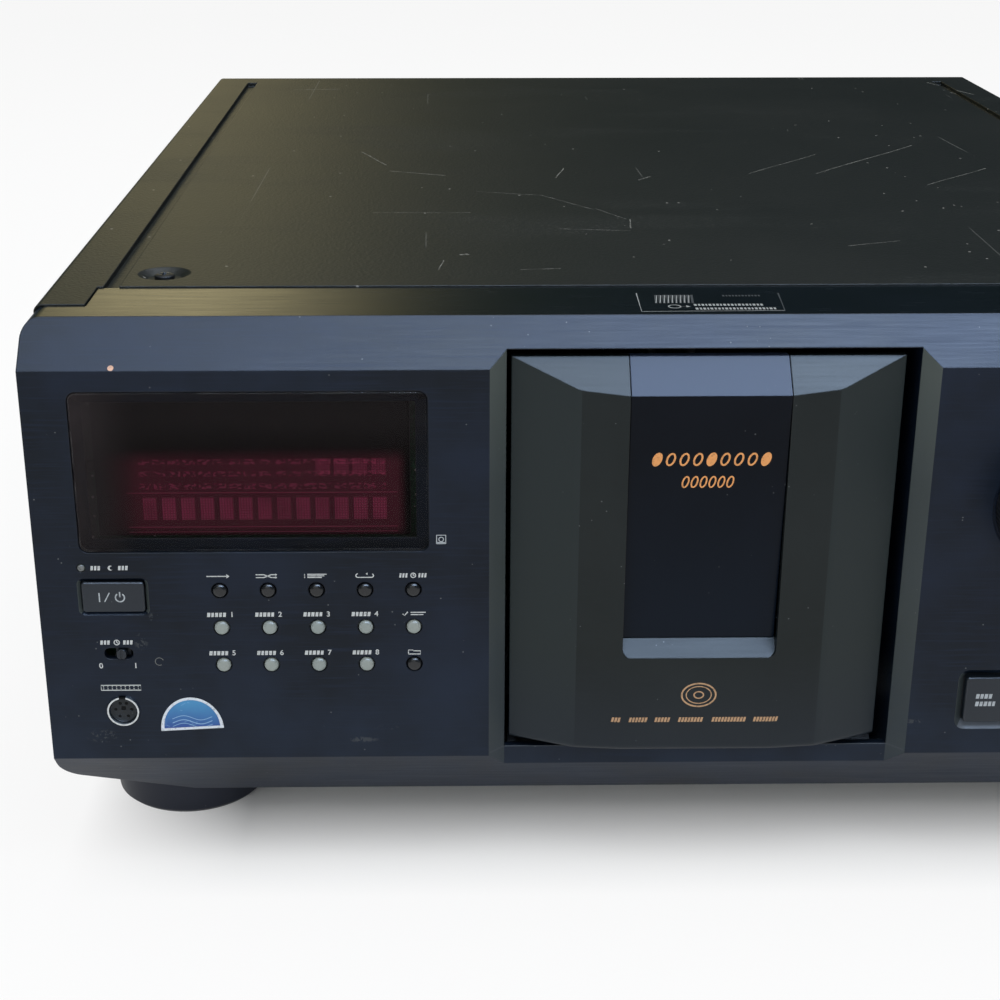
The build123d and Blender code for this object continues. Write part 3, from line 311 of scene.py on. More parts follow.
# each moulded finish: colour and mottling, roughness, specular level, grain per metre and its depth in
# mm, how far its edges are rounded in mm and how pale they are (worn, and a painted highlight), dust and
# streaks
mouldBase = {"gloss": 0.4, "grain": 1500.0, "depth": 0.03, "edge": 0.3, "dust": 0.0, "streak": 0.0}
mouldLook = {
    "fascia": {"colour": (0.0016, 0.0052, 0.012), "patch": (0.0062, 0.0128, 0.03), "rough": 0.42,
        "gloss": 0.2, "grain": 3200.0, "edge": 0.6, "wear": 0.035, "dust": 0.6, "streak": 0.26},
    "key": {"colour": (0.012, 0.0175, 0.026), "patch": (0.018, 0.024, 0.033), "rough": 0.36, "gloss": 0.34,
        "grain": 3600.0, "depth": 0.02, "edge": 0.4, "wear": 0.12, "dust": 0.3, "streak": 0.05},
    "dial": {"colour": (0.01, 0.012, 0.015), "patch": (0.015, 0.017, 0.021), "rough": 0.34, "gloss": 0.34,
        "grain": 3600.0, "depth": 0.02, "edge": 0.5, "wear": 0.05, "dust": 0.2},
    "buttonBlack": {"colour": (0.006, 0.007, 0.009), "patch": (0.012, 0.013, 0.015), "rough": 0.26,
        "gloss": 0.45, "grain": 5000.0, "depth": 0.01, "wear": 0.05},
    "buttonGrey": {"colour": (0.27, 0.31, 0.3), "patch": (0.33, 0.36, 0.33), "rough": 0.4,
        "grain": 5000.0, "depth": 0.01, "wear": 0.38},
    "door": {"colour": (0.0055, 0.0095, 0.0098), "patch": (0.0095, 0.014, 0.0145), "rough": 0.4,
        "gloss": 0.22, "grain": 3000.0, "edge": 0.5, "wear": 0.03, "dust": 0.5, "streak": 0.12},
    "inlay": {"colour": (0.001, 0.0026, 0.0062), "patch": (0.0022, 0.004, 0.0085), "rough": 0.17,
        "gloss": 0.1, "grain": 900.0, "depth": 0.004, "edge": 0.4, "wear": 0.02, "dust": 0.4,
        "streak": 0.05},
    "foot": {"colour": (0.012, 0.016, 0.029), "patch": (0.018, 0.022, 0.036), "rough": 0.5, "gloss": 0.3,
        "grain": 1800.0, "depth": 0.05, "edge": 0.8, "wear": 0.05, "dust": 0.5, "streak": 0.1},
    "moulding": {"colour": (0.02, 0.021, 0.024), "patch": (0.028, 0.029, 0.032), "rough": 0.55,
        "depth": 0.04, "edge": 0.5, "wear": 0.06, "dust": 0.2, "streak": 0.1},
    "table": {"colour": (0.045, 0.047, 0.051), "patch": (0.058, 0.06, 0.064), "rough": 0.48,
        "wear": 0.1, "dust": 0.1, "streak": 0.1},
    "gear": {"colour": (0.58, 0.58, 0.52), "patch": (0.66, 0.65, 0.58), "rough": 0.42, "gloss": 0.5,
        "grain": 900.0, "wear": 0.72},
    "pickup": {"colour": (0.014, 0.014, 0.017), "patch": (0.022, 0.022, 0.025), "rough": 0.45,
        "wear": 0.06, "dust": 0.1},
    "gland": {"colour": (0.012, 0.012, 0.012), "patch": (0.02, 0.02, 0.02), "rough": 0.7, "gloss": 0.3,
        "grain": 1200.0, "depth": 0.06, "edge": 0.5, "wear": 0.05, "dust": 0.1},
    "socketFace": {"colour": (0.012, 0.015, 0.018), "patch": (0.02, 0.024, 0.027), "rough": 0.5,
        "gloss": 0.3, "grain": 4000.0, "depth": 0.01, "edge": 0.2, "wear": 0.06, "dust": 0.2},
}
dustLook = {"specks": (330.0, 0.085, 0.6, 95.0), "colour": (0.16, 0.17, 0.18)}
# the smooth strip, a painted highlight on the bevels beside the door, painted light from the floor on the
# foot, a painted highlight along the sill and on the bevel under the open key, and scuffs as x and z with
# half sizes in mm
fasciaLook = {
    "strip": (0.0042, 0.0058, 0.006), "beside": (0.074, 0.089, 0.085), "foot": (0.012, 0.023, 0.044),
    "sill": (0.05, 0.06, 0.072), "scuff": (0.06, 0.068, 0.075), "rubbed": (0.125, 0.145, 0.175),
    "scuffs": [(-198.0, 48.5, 6.0, 2.6), (-104.0, 51.0, 4.5, 1.0), (-112.0, 46.5, 6.0, 1.2),
               (-183.0, 83.0, 2.5, 3.5), (-178.0, 92.0, 2.2, 2.0), (72.0, 52.0, 3.5, 1.0)]}
doorLook = {"outer": (0.016, 0.024, 0.0255), "foot": (0.0125, 0.0185, 0.028)}
inlayLook = {"sheen": (0.004, 0.0085, 0.017), "bevel": (0.034, 0.048, 0.088)}


def fasciaMarks(f, colour, broad, up):
    nx, ny, nz = f.facing()
    front = ny < -0.5
    # painted highlight on the side bevels beside the door, stronger towards the top
    beside = (abs(nx) > 0.5) * (abs(nx) < 0.85) * front
    # painted light from the floor: paler and bluer towards the foot, in patches
    dusty = (1 - f.z.ramp(0.03, 0.09)) * front * broad.ramp(0.2, 0.7)
    # painted highlight along the sill's front edge
    sill = (abs(f.z - 0.041) < 0.00035) * (abs(f.x) < 0.0695) * (ny < -0.3)
    places = []
    for x, z, wide, tall in fasciaLook["scuffs"]:
        u, v = (f.x * 1000.0 - x) / wide, (f.z * 1000.0 - z) / tall
        places.append(1 - (u * u + v * v).ramp(0.2, 1.0))
    scuff = f.most(places) * (f.noise(560.0, 3.0, 0.7) > 0.55) * front
    # painted highlight on the upward bevel under the open key
    rubbed = (nz > 0.5) * (f.z < 0.056) * (f.z > 0.045) * (f.x > 0.08) * (f.x < 0.121)
    return f.painted(colour, (up * 0.85, fasciaLook["strip"]),
                     (beside * (0.62 + 0.38 * f.z.ramp(0.135, 0.172)), fasciaLook["beside"]),
                     (dusty * 0.7, fasciaLook["foot"]), (sill * 0.8, fasciaLook["sill"]),
                     (scuff * 0.6, fasciaLook["scuff"]), (rubbed * 0.9, fasciaLook["rubbed"]))


def doorMarks(f, colour):  # the outer facets carry a painted highlight, paler than the middle; the foot has painted light from the floor, paler and bluer
    nx, ny, nz = f.facing()
    # painted highlight on the outer facets, chosen by their direction
    outer = (abs(nx) > 0.2) * (nz < 0.4) * (ny < -0.5)
    # painted light from the floor: paler and bluer towards the foot
    low = (1 - f.z.ramp(0.044, 0.08)) * (ny < -0.5)
    return f.painted(colour, (outer * 0.8, doorLook["outer"]), (low * 0.7, doorLook["foot"]))


def inlayMarks(f, colour):  # a painted blue sheen low down, and a painted highlight on the upward bevel
    ny, nz = f.facing()[1:]
    # painted blue sheen towards the bottom
    low = (1 - f.z.ramp(0.088, 0.15)) * (ny < -0.5)
    # painted highlight where the inlay faces upwards
    return f.painted(colour, (low * 0.8, inlayLook["sheen"]), ((nz > 0.4) * 0.9, inlayLook["bevel"]))


def mouldFinish(name, ridged=None):
    # fine moulded grain drawn out along X, slow mottling, a little dust, and paler edges: partly wear, partly
    # a painted highlight
    f = Finish(name + "Plastic")
    look = {**mouldBase, **mouldLook[name]}
    fine = f.noise(look["grain"], 2.0, 0.6)
    drawn = f.noise(look["grain"] * 0.35, 2.0, 0.6, f.stretched((0.035, 1.0, 1.0)))
    broad = f.noise(26.0, 3.0, 0.6)
    soft = f.softened(look["edge"] * mm)
    rim = f.rim(soft) * f.noise(170.0, 3.0).ramp(0.3, 0.62)
    colour = f.blend(broad.ramp(0.38, 0.72), look["colour"], look["patch"])
    if look["streak"]:
        colour = f.blend(drawn.ramp(0.5, 0.78) * look["streak"] * 4.0, colour, look["patch"])
    # paler edges: partly wear, partly a painted highlight
    colour = f.blend((rim * 0.8).clamped(), colour, (look["wear"],) * 3)
    if look["dust"]:
        colour = f.blend((f.specks(dustLook["specks"]) * look["dust"]).clamped(), colour, dustLook["colour"])
    rough = look["rough"] + 0.1 * (broad - 0.5) + look["streak"] * (drawn - 0.5)
    height = fine
    if name == "fascia":  # the strip on top is smoother
        up = (f.facing()[2] > 0.95) * (f.z > 0.18)
        rough = rough - 0.2 * up
        height = fine * (1 - 0.7 * up)
        colour = fasciaMarks(f, colour, broad, up)
    elif name == "door":
        colour = doorMarks(f, colour)
    elif name == "inlay":
        colour = inlayMarks(f, colour)
    if ridged:  # ridges round a turned piece's side: a sine of the angle about its axis
        x, z, count = ridged
        turn = (f.z - z * mm).maths("ARCTAN2", f.x - x * mm)
        height = fine * 0.1 + (turn * float(count)).sine() * (abs(f.facing()[1]) < 0.4) * 4.0
    return f.coat(colour, rough, look["gloss"], f.bump(height, look["depth"] * mm, 0.8, soft))


# paint on folded steel, and scratches as x and depth of the middle, turn in degrees, length and width in mm
coverLook = {
    "paint": (0.003, 0.0046, 0.0028), "haze": (0.0068, 0.008, 0.0058), "rough": 0.46, "gloss": 0.24,
    "grain": 2300.0, "mark": (0.21, 0.215, 0.2), "edge": 0.7, "pale": (0.013, 0.0145, 0.0115),
    "scuff": (0.06, 0.064, 0.058), "worn": (0.05, 0.052, 0.05), "dust": (0.3, 0.3, 0.28),
    "specks": (150.0, 0.075, 0.57, 60.0), "scratches": [
        (103, 267, 51, 87, 0.6), (64, 256, 52, 57, 0.45), (-116, 271, -66, 34, 0.5),
        (-96, 237, -20, 26, 0.5), (-59, 195, -14, 26, 0.4), (-36, 178, -52, 34, 0.4),
        (-20, 156, -58, 21, 0.4), (-14, 139, -90, 15, 0.45), (-28, 129, -4, 26, 0.4),
        (-35, 237, 81, 22, 0.5), (-85, 76, 87, 14, 0.4), (0, 225, 59, 10, 0.6), (-155, 473, 8, 25, 0.8),
        (194, 472, -70, 47, 0.9), (-77, 91, 34, 3, 1.6), (133, 227, 48, 49, 0.5), (71, 106, 24, 22, 0.4),
        (-93, 159, 2, 38, 0.35), (-51, 70, 11, 14, 0.4)]}


def scratchMarks(f, scratches):
    # near a line that bends as a sine of the way along it, and no further along it than its half length
    lines = []
    for x, depth, turn, length, width in scratches:
        c, s = cos(radians(turn)), sin(radians(turn))
        u, v = f.x * 1000.0 - float(x), f.y * 1000.0 - float(depth + depthShift)
        along, across = u * c + v * s, v * c - u * s
        bend = (along / (length * 0.3)).sine() * (0.3 + length * 0.012)
        lines.append((abs(across + bend) < width / 2) * (abs(along) < length / 2))
    return f.most(lines) * (0.25 + 0.75 * f.noise(210.0, 3.0, 0.7).ramp(0.38, 0.6))


def coverFinish():
    f = Finish("coverPaint")
    look = coverLook
    fine = f.noise(look["grain"], 3.0, 0.6)
    pebble = f.cells(820.0)
    grainy = f.noise(760.0, 2.0, 0.6).ramp(0.36, 0.66)
    broad = f.noise(9.0, 4.0, 0.6)
    smudge = f.noise(22.0, 3.0, 0.7, f.stretched((0.3, 1.0, 1.0))).ramp(0.55, 0.7)
    scuffs = smudge * (f.noise(620.0, 2.0, 0.7) > 0.6)
    top = f.facing()[2] > 0.9
    scratch = scratchMarks(f, look["scratches"]) * top
    hairs = f.cells(15.0, "DISTANCE_TO_EDGE", f.stretched((1.0, 0.05, 1.0), 0.6)) < 0.0025
    hairs = hairs * f.noise(12.0, 1.0).ramp(0.58, 0.62) * top
    soft = f.softened(look["edge"] * mm)
    rim = f.rim(soft) * f.noise(120.0, 3.0).ramp(0.35, 0.65)
    colour = f.painted(
        look["paint"], (broad.ramp(0.35, 0.75), look["haze"]), (grainy * 0.45, look["pale"]),
        (scuffs * top * 0.35, look["scuff"]), ((rim * 0.7).clamped(), look["worn"]),
        ((scratch * 0.8 + hairs * 0.3).clamped(), look["mark"]),
        ((f.specks(look["specks"]) * 0.8).clamped(), look["dust"]))
    height = fine * 0.4 + pebble * 0.9 - scratch * 0.5
    return f.coat(colour, look["rough"] + 0.06 * (broad - 0.5) + 0.03 * smudge, look["gloss"],
                  f.bump(height, 0.09 * mm, 0.8, soft))


metalLook = {
    "plated": {"colour": (0.5, 0.51, 0.5), "rough": 0.38, "streak": 900.0, "edge": 0.4},
    "ground": {"colour": (0.58, 0.58, 0.58), "rough": 0.25, "streak": 2200.0, "edge": 0.2},
    "canSteel": {"colour": (0.42, 0.43, 0.44), "rough": 0.33, "streak": 1200.0, "edge": 0.5},
    "chrome": {"colour": (0.66, 0.68, 0.68), "rough": 0.16, "streak": 1800.0, "edge": 0.2},
    "blackened": {"colour": (0.016, 0.017, 0.019), "rough": 0.4, "streak": 2500.0, "edge": 0.3, "metal": 0.6},
    "laminated": {"colour": (0.12, 0.115, 0.11), "rough": 0.5, "streak": 1500.0, "edge": 0.4, "metal": 0.7},
}


def metalFinish(name):
    # drawn along X, slowly stained, and brighter where its edges are rubbed
    f = Finish(name + "Metal")
    look = metalLook[name]
    drawn = f.noise(look["streak"], 2.0, 0.6, f.stretched((0.06, 1.0, 1.0)))
    broad = f.noise(30.0, 3.0)
    soft = f.softened(look["edge"] * mm)
    rim = f.rim(soft) * f.noise(150.0, 2.0).ramp(0.3, 0.6)
    dull, bright = (tuple(c * share for c in look["colour"]) for share in (0.72, 1.3))
    stained = (broad.ramp(0.35, 0.8) * 0.7 + drawn.ramp(0.4, 0.8) * 0.3).clamped()
    colour = f.painted(look["colour"], (stained, dull), ((rim * 0.8).clamped(), bright))
    return f.coat(colour, look["rough"] + 0.18 * (drawn - 0.5) + 0.1 * (broad - 0.5),
                  normal=f.bump(drawn, 0.01 * mm, 0.6, soft), Metallic=look.get("metal", 1.0))


# the rim colour is a painted highlight along the window's edges
windowLook = {"tint": (0.002, 0.001, 0.001), "haze": (0.034, 0.027, 0.029), "rough": 0.09, "cover": 0.3,
              "gloss": 0.13, "specks": (300.0, 0.06, 0.68, 90.0), "dust": (0.25, 0.24, 0.23),
              "rim": (0.3, 0.31, 0.31)}


def windowFinish():
    # smoked acrylic: a brown haze at its left and upper ends, smears, a few pale specks, and a painted
    # highlight along its rim
    f = Finish("smokedWindow")
    look = windowLook
    smears = f.noise(34.0, 3.0, 0.6)
    left = (f.x * -1000.0).ramp(180.0, 202.0)
    upper = (f.z * 1000.0).ramp(146.0, 158.0) * 0.35
    haze = ((left + upper) * (0.35 + 0.85 * smears)).clamped()
    specks = f.specks(look["specks"])
    # painted highlight along the window's edges, in patches
    rim = f.rim(f.softened(0.5 * mm)) * f.noise(90.0, 2.0).ramp(0.38, 0.6)
    colour = f.painted(look["tint"], (haze, look["haze"]), (specks * 0.5, look["dust"]),
                       (rim * 0.9, look["rim"]))
    return f.coat(colour, look["rough"] + 0.1 * smears.ramp(0.5, 0.8), look["gloss"],
                  Alpha=(look["cover"] + 0.45 * haze + specks * 0.4 + rim * 0.6).clamped())


# the tube's blocks; its rules as height and half thickness; its fine rows the same; all in mm
displayLook = {"glass": (0.004, 0.002, 0.0024), "lit": (0.55, 0.06, 0.165), "faint": (0.2, 0.032, 0.06),
               "blocks": 13, "left": -180.4, "pitch": 6.1, "low": 123.8, "high": 131.4, "middle": -142.0,
               "rules": ((121.3, 0.16), (119.6, 0.14), (133.0, 0.14)),
               "rows": ((135.2, 1.0), (139.4, 0.9), (143.4, 0.9))}


def displayFinish():
    # whole and broken parts of x and z give a row of dot-matrix blocks, and finer rows of marks above it
    f = Finish("displayTube")
    look = displayLook
    px, pz = f.x * 1000.0, f.z * 1000.0
    u = (px - look["left"]) / look["pitch"]
    v = (pz - look["low"]) / (look["high"] - look["low"])
    inRow = (u > 0.0) * (u < float(look["blocks"]))
    block = (abs(u.frac() - 0.42) < 0.36) * (v > 0.0) * (v < 1.0) * inRow
    dots = ((px * 1.15).frac() < 0.66) * ((pz * 1.15).frac() < 0.66)
    matrix = block * (0.4 + 0.6 * dots) * (0.55 + 0.45 * f.noise(95.0, 1.0).ramp(0.3, 0.62))
    aside = abs(px - look["middle"])
    rules, rows = (f.most([abs(pz - z) < half for z, half in look[kind]]) for kind in ("rules", "rows"))
    words = f.noise(1500.0, 1.0, 0.5, f.stretched((0.55, 1.0, 1.0))).ramp(0.48, 0.56)
    rows = rows * words * ((px * 0.21).frac() < 0.82) * (aside < 39.5)
    boxes = (abs(pz - 141.8) < 2.7) * (abs(px + 113.0) < 11.8) * (((px + 124.8) * 0.17).frac() < 0.78)
    boxes = boxes * (0.4 + 0.6 * dots)
    front = f.facing()[1] < -0.5
    lit = (matrix * 0.8 + rules * (aside < 43.0) * 0.55 + rows * 0.5 + boxes * 0.5).clamped() * front
    across = px.ramp(-194.0, -182.0) * (1 - px.ramp(-99.0, -96.0))
    field = across * pz.ramp(117.0, 121.0) * (1 - pz.ramp(143.0, 148.0)) * (0.55 + 0.45 * f.noise(60.0, 2.0))
    colour = f.painted(look["glass"], ((field * front * 0.8).clamped(), look["faint"]), (lit, look["lit"]))
    return f.coat(colour, 0.3 + 0.1 * f.noise(60.0), 0.04)


boardLook = {"mask": (0.012, 0.075, 0.03), "track": (0.035, 0.17, 0.07), "silver": (0.55, 0.55, 0.52)}


def boardFinish():
    f = Finish("circuitBoard")
    wide = f.cells(420.0, "DISTANCE_TO_EDGE") < 0.03
    pads = f.cells(330.0) < 0.16
    colour = f.painted(boardLook["mask"], (wide, boardLook["track"]), (pads * 0.8, boardLook["silver"]))
    return f.coat(colour, 0.35 + 0.2 * f.noise(90.0), normal=f.bump(wide, 0.03 * mm, 0.5))


# the keyboard socket: its middle, its ring's inner radius and front, its notch, and its face with pin holes
socketLook = {
    "x": -190.5, "z": 57.9, "ring": 4.55, "front": 3.0, "notch": 1.1, "radius": 4.32, "face": 0.5,
    "hole": 0.55, "holes": 6, "circle": 2.65, "first": 112.5, "turn": 63.0, "deep": 1.6, "key": 0.75,
    "keyHigh": 0.6, "keySquash": 1.05, "sunk": 0.25, "core": (0.0035, 0.004, 0.0045),
    "plate": (0.62, 0.65, 0.66), "stain": (0.02, 0.022, 0.024)}


def jackFinish():  # a plated ring round a dark core: the distance from the socket's axis tells them apart
    f = Finish("socketMetal")
    look = socketLook
    u, v = f.x - look["x"] * mm, f.z - look["z"] * mm
    notch = (abs(u) < look["notch"] * mm) * (v > 0.0)
    ring = ((u * u + v * v) > (look["ring"] * mm) ** 2) * (1 - notch)
    drawn = f.noise(1800.0, 2.0)
    plated = ring * (f.y < (depthShift + look["front"]) * mm)
    colour = f.painted(look["core"], (plated, look["plate"]), (drawn.ramp(0.5, 0.8) * 0.5, look["stain"]))
    return f.coat(colour, 0.22 + 0.25 * drawn, 0.1, f.bump(drawn, 0.01 * mm, 0.5), Metallic=ring)


inkLook = {"white": (0.56, 0.59, 0.6), "amber": (0.8, 0.34, 0.1), "tan": (0.5, 0.3, 0.16),
           "grey": (0.42, 0.46, 0.5), "paper": (0.7, 0.76, 0.84), "foil": (0.04, 0.045, 0.048),
           "dull": (0.16, 0.17, 0.17), "label": (0.36, 0.38, 0.38), "orange": (0.62, 0.33, 0.18)}


def inkFinish(name):  # printing that is rubbed thin in places
    f = Finish(name + "Ink")
    rubbed = f.noise(900.0, 3.0, 0.65).ramp(0.52, 0.74)
    pale, thin = inkLook[name], tuple(c * 0.45 for c in inkLook[name])
    return f.coat(f.blend(rubbed, pale, thin), 0.45 + 0.2 * rubbed,
                  normal=f.bump(f.noise(2600.0), 0.006 * mm, 0.5))


# the sticker's middle, its blues, and its waves as rise and half thickness in mm
stickerLook = {"middle": (-168.0, 50.6), "high": (0.05, 0.26, 0.52), "low": (0.012, 0.06, 0.3),
               "wave": (0.3, 0.52, 0.75), "waves": ((0.0, 0.16), (1.5, 0.13), (-1.3, 0.11)), "half": 6.6}


def stickerFinish():  # glossy blue that darkens downwards, with thin pale waves and a few creases
    f = Finish("stickerBlue")
    look = stickerLook
    px, pz = f.x * 1000.0 - look["middle"][0], f.z * 1000.0 - look["middle"][1]
    cloud = f.noise(150.0, 3.0, 0.6)
    wave = pz - 3.0 + (px * 0.55).sine() * 0.8
    lines = f.most([abs(wave - rise) < half for rise, half in look["waves"]]) * (abs(px) < look["half"])
    crease = (f.cells(260.0, "DISTANCE_TO_EDGE") < 0.03) * (f.noise(300.0) > 0.56)
    colour = f.painted(look["low"], ((pz.ramp(0.5, 10.0) + 0.35 * (cloud - 0.5)).clamped(), look["high"]),
                       ((lines * 0.75 + crease * 0.25).clamped(), look["wave"]))
    return f.coat(colour, 0.28 + 0.25 * cloud, normal=f.bump(cloud, 0.05 * mm, 0.6))


finishes = {
    "dial": mouldFinish("dial", ridged=(111.0, 128.6, 72)), "cover": coverFinish(), "window": windowFinish(),
    "display": displayFinish(), "board": boardFinish(), "sticker": stickerFinish(), "jack": jackFinish(),
}
for finish in mouldLook:
    if finish not in finishes:
        finishes[finish] = mouldFinish(finish)
for finish in metalLook:
    finishes[finish] = metalFinish(finish)
for finish in inkLook:
    finishes[finish] = inkFinish(finish)
# the fifteen small round buttons, three rows of five
buttonGrid = [[name + "_button" for name in row.split()] for row in (
    "continue shuffle program repeat time", "group_1 group_2 group_3 group_4 hit_list",
    "group_5 group_6 group_7 group_8 group_file")]
wearing = {
    "fascia": "front_panel", "cover": "top_cover rear_panel", "plated": "chassis_base", "dial": "jog_dial",
    "foot": " ".join(name for name in nodes if name.startswith("foot_")),
    "key": "power_button open_close_button stop_button pause_button play_button timer_slider jack_panel",
    "buttonBlack": " ".join(buttonGrid[0] + buttonGrid[2][4:]),
    "buttonGrey": " ".join(buttonGrid[1] + buttonGrid[2][:4]),
    "door": "door_panel", "inlay": "door_window", "moulding": "door_carrier deck_frame loading_lever",
    "ground": "door_hinge_pins pickup_rods",
    "canSteel": " ".join(name for name in nodes if name.endswith("_motor")),
    "gear": "door_drive_gear table_drive_gear table_bearing_ring loading_drive_gear clamp_arm "
            "clamp_drive_gear",
    "table": "rotary_table", "pickup": "spindle_turntable optical_pickup", "gland": "cord_gland",
    "jack": "keyboard_jack", "blackened": "case_screws", "laminated": "power_transformer",
    "window": "display_window", "display": "display_tube", "board": "front_board main_board",
}
for finish, names in wearing.items():
    for nodeName in names.split():
        nodes[nodeName].data.materials.clear()
        nodes[nodeName].data.materials.append(finishes[finish])
print("finishes on", sum(len(n.split()) for n in wearing.values()), "nodes")

# a button's dome as (radius, depth), and its square collar and stem as half width, front and back
buttonLook = {"left": -156.5, "pitch": 15.57, "rows": (101.2, 88.0, 74.6), "steps": 40,
              "dome": [(0.0, -1.2), (0.7, -1.18), (1.3, -1.1), (1.75, -0.95), (2.05, -0.7), (2.22, -0.4),
                       (2.3, -0.05), (2.3, 3.1), (0.0, 3.1)],
              "behind": ((3.5, 3.1, 4.1), (1.2, 4.1, 7.9))}
buttonX = [buttonLook["left"] + buttonLook["pitch"] * column for column in range(5)]


def makeButtons():
    for names, z in zip(buttonGrid, buttonLook["rows"]):
        for x, name in zip(buttonX, names):
            verts, faces = joined(
                [lathe(buttonLook["dome"], buttonLook["steps"], (x, 0.0, z))]
                + [brick(x - h, x + h, front, back, z - h, z + h) for h, front, back in buttonLook["behind"]])
            finish = "buttonBlack" if name in wearing["buttonBlack"] else "buttonGrey"
            piece = cleaned(addPiece("domed_" + name, verts, faces, finish, nodes[name]["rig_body"]))
            piece.data.polygons.foreach_set("use_smooth", [len(p.vertices) == 4 and abs(p.normal[1]) < 0.98
                                                           for p in piece.data.polygons])
            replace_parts(piece, name)


# the screws' head and shank, the cross and its depth, and their places on the cover and the back
screwLook = {"head": 3.4, "height": 1.8, "fall": 0.55, "brim": 0.9, "shank": 1.5, "length": 4.5,
             "cross": 0.55, "reach": 2.0, "sunk": 0.9,
             "places": [((x, 65.5, 187.2), "up") for x in (-178.4, 178.4)]
                       + [((x, 515.0, 182.0), "back") for x in (-150.0, 0.0, 150.0)]}


def screwHead(centre, axis):
    # height over a disc of radius and angle: a low dome, less a cross near either of two lines
    look = screwLook
    r = np.concatenate([np.linspace(0, 2.6, 27), [2.9, 3.2, 3.35, look["head"]]])[:, None]
    a = np.linspace(0, 2 * pi, 96, endpoint=False)[None, :]
    u, v = r * np.cos(a), r * np.sin(a)
    near, far = np.minimum(abs(u), abs(v)), np.maximum(abs(u), abs(v))
    cut = np.clip((look["cross"] - near) / 0.12, 0, 1) * np.clip((look["reach"] - far) / 0.4, 0, 1)
    h = look["height"] - look["fall"] * (r / look["head"]) ** 3 - look["sunk"] * cut
    h[-1] = look["brim"]
    below = np.array([(look["head"], 0.0), (look["shank"], 0.0), (look["shank"], -look["length"]),
                      (0.0, -look["length"])])[:, :, None]
    u = np.concatenate([u, below[:, 0] * np.cos(a)])
    v = np.concatenate([v, below[:, 0] * np.sin(a)])
    h = np.concatenate([h, np.repeat(below[:, 1], a.shape[1], 1)])
    grid = np.stack((u, v, h) if axis == "up" else (u, h, v), -1)
    return grid.reshape(-1, 3) + np.asarray(centre, float), gridFaces(len(u), a.shape[1], wrap=True)


def makeScrews():
    verts, faces = joined([screwHead(*place) for place in screwLook["places"]])
    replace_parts(cleaned(addPiece("screw_heads", verts, faces, "blackened")), "case_screws")


def makeSocketFace():
    # depth over a disc: flat, sunk a little in the ring, deep in each of six round holes and a square one
    look = socketLook
    r = np.linspace(0.0, look["radius"], 34)[:, None]
    a = np.linspace(0, 2 * pi, 132, endpoint=False)[None, :]
    u, v = r * np.cos(a), r * np.sin(a)
    turns = np.radians(look["first"] + np.arange(look["holes"]) * look["turn"])
    pinX, pinZ = look["circle"] * np.cos(turns), look["circle"] * np.sin(turns)
    away = np.hypot(u[..., None] - pinX, v[..., None] - pinZ).min(-1)
    hole = np.clip((look["hole"] - away) / 0.1, 0, 1)
    aside = np.maximum(abs(u), abs(v - look["keyHigh"]) * look["keySquash"])
    square = np.clip((look["key"] - aside) / 0.12, 0, 1)
    edge = 1 - np.clip((look["radius"] - r) / 0.3, 0, 1)
    depth = look["face"] + look["deep"] * np.maximum(hole, square) - look["sunk"] * edge
    grid = np.stack([look["x"] + u, depth, look["z"] + v], -1).reshape(-1, 3)
    faces = gridFaces(len(r), a.shape[1], wrap=True)
    cleaned(addPiece("socket_face", grid, faces, "socketFace"))


# turned pieces: places as x and z, and the profile as (radius, depth)
turnedLook = {
    "lamp_lens": {"finish": "dull", "steps": 32, "places": [(-200.4, 109.3)], "smooth": True, "profile": [
        (0.0, -0.3), (0.45, -0.26), (0.85, -0.12), (1.15, 0.1), (1.15, 1.2), (0.0, 1.2)]},
    "phono_sleeves": {"finish": "chrome", "steps": 48, "places": [(72.0, 61.0), (86.0, 61.0)], "profile": [
        (1.75, 526.6), (4.0, 526.95), (4.3, 526.6), (4.3, 517.9), (4.16, 517.9), (4.16, 526.4), (1.75, 526.4),
        (1.75, 526.6)]},
    "socket_collars": {"finish": "chrome", "steps": 48, "places": [(113.0, 61.0), (124.0, 61.0)], "profile": [
        (1.85, 517.2), (2.7, 517.4), (2.9, 517.1), (2.9, 516.4), (1.85, 516.4), (1.85, 517.2)]},
}


def makeSmallTurnings():  # the lamp's lens, and thin metal sleeves on the sockets at the back
    for name, look in turnedLook.items():
        rings = joined([lathe(look["profile"], look["steps"], (x, 0.0, z)) for x, z in look["places"]])
        cleaned(addPiece(name, *rings, look["finish"], smooth=look.get("smooth", False)))


makeButtons()
makeScrews()
makeSocketFace()
makeSmallTurnings()
print("buttons, screws and sockets made")


# where marks lie: how far they stand off, the strip's height, the chamfer's foot, the inlay's depth and
# height at its top edge and its slope, and the door's depth, middle, flat half width and slope
surfaceLook = {"lift": 0.045, "strip": 188.6, "chamfer": 175.0, "inlay": (-4.0, 167.5, 5.0 / 84.4),
               "door": (-4.0, -1.5, 25.0, 1.5 / 15.5)}


def standing(p, depth):  # from two numbers, as x and z, to x, depth and z
    return np.stack([p[:, 0], np.broadcast_to(depth, len(p)), p[:, 1]], -1)


def onFront(depth, lift=surfaceLook["lift"]):
    return lambda p: standing(p, depth - lift)


def onStrip(p):
    return np.stack([p[:, 0], p[:, 1], np.full(len(p), surfaceLook["strip"] + surfaceLook["lift"])], -1)


def onTopChamfer(p):  # the second number is the depth on the 45 degree chamfer
    return np.stack([p[:, 0], p[:, 1] - 0.03, surfaceLook["chamfer"] + p[:, 1] + 0.03], -1)


def onInlay(p):
    depth, top, slope = surfaceLook["inlay"]
    return standing(p, depth - surfaceLook["lift"] + (top - p[:, 1]) * slope)


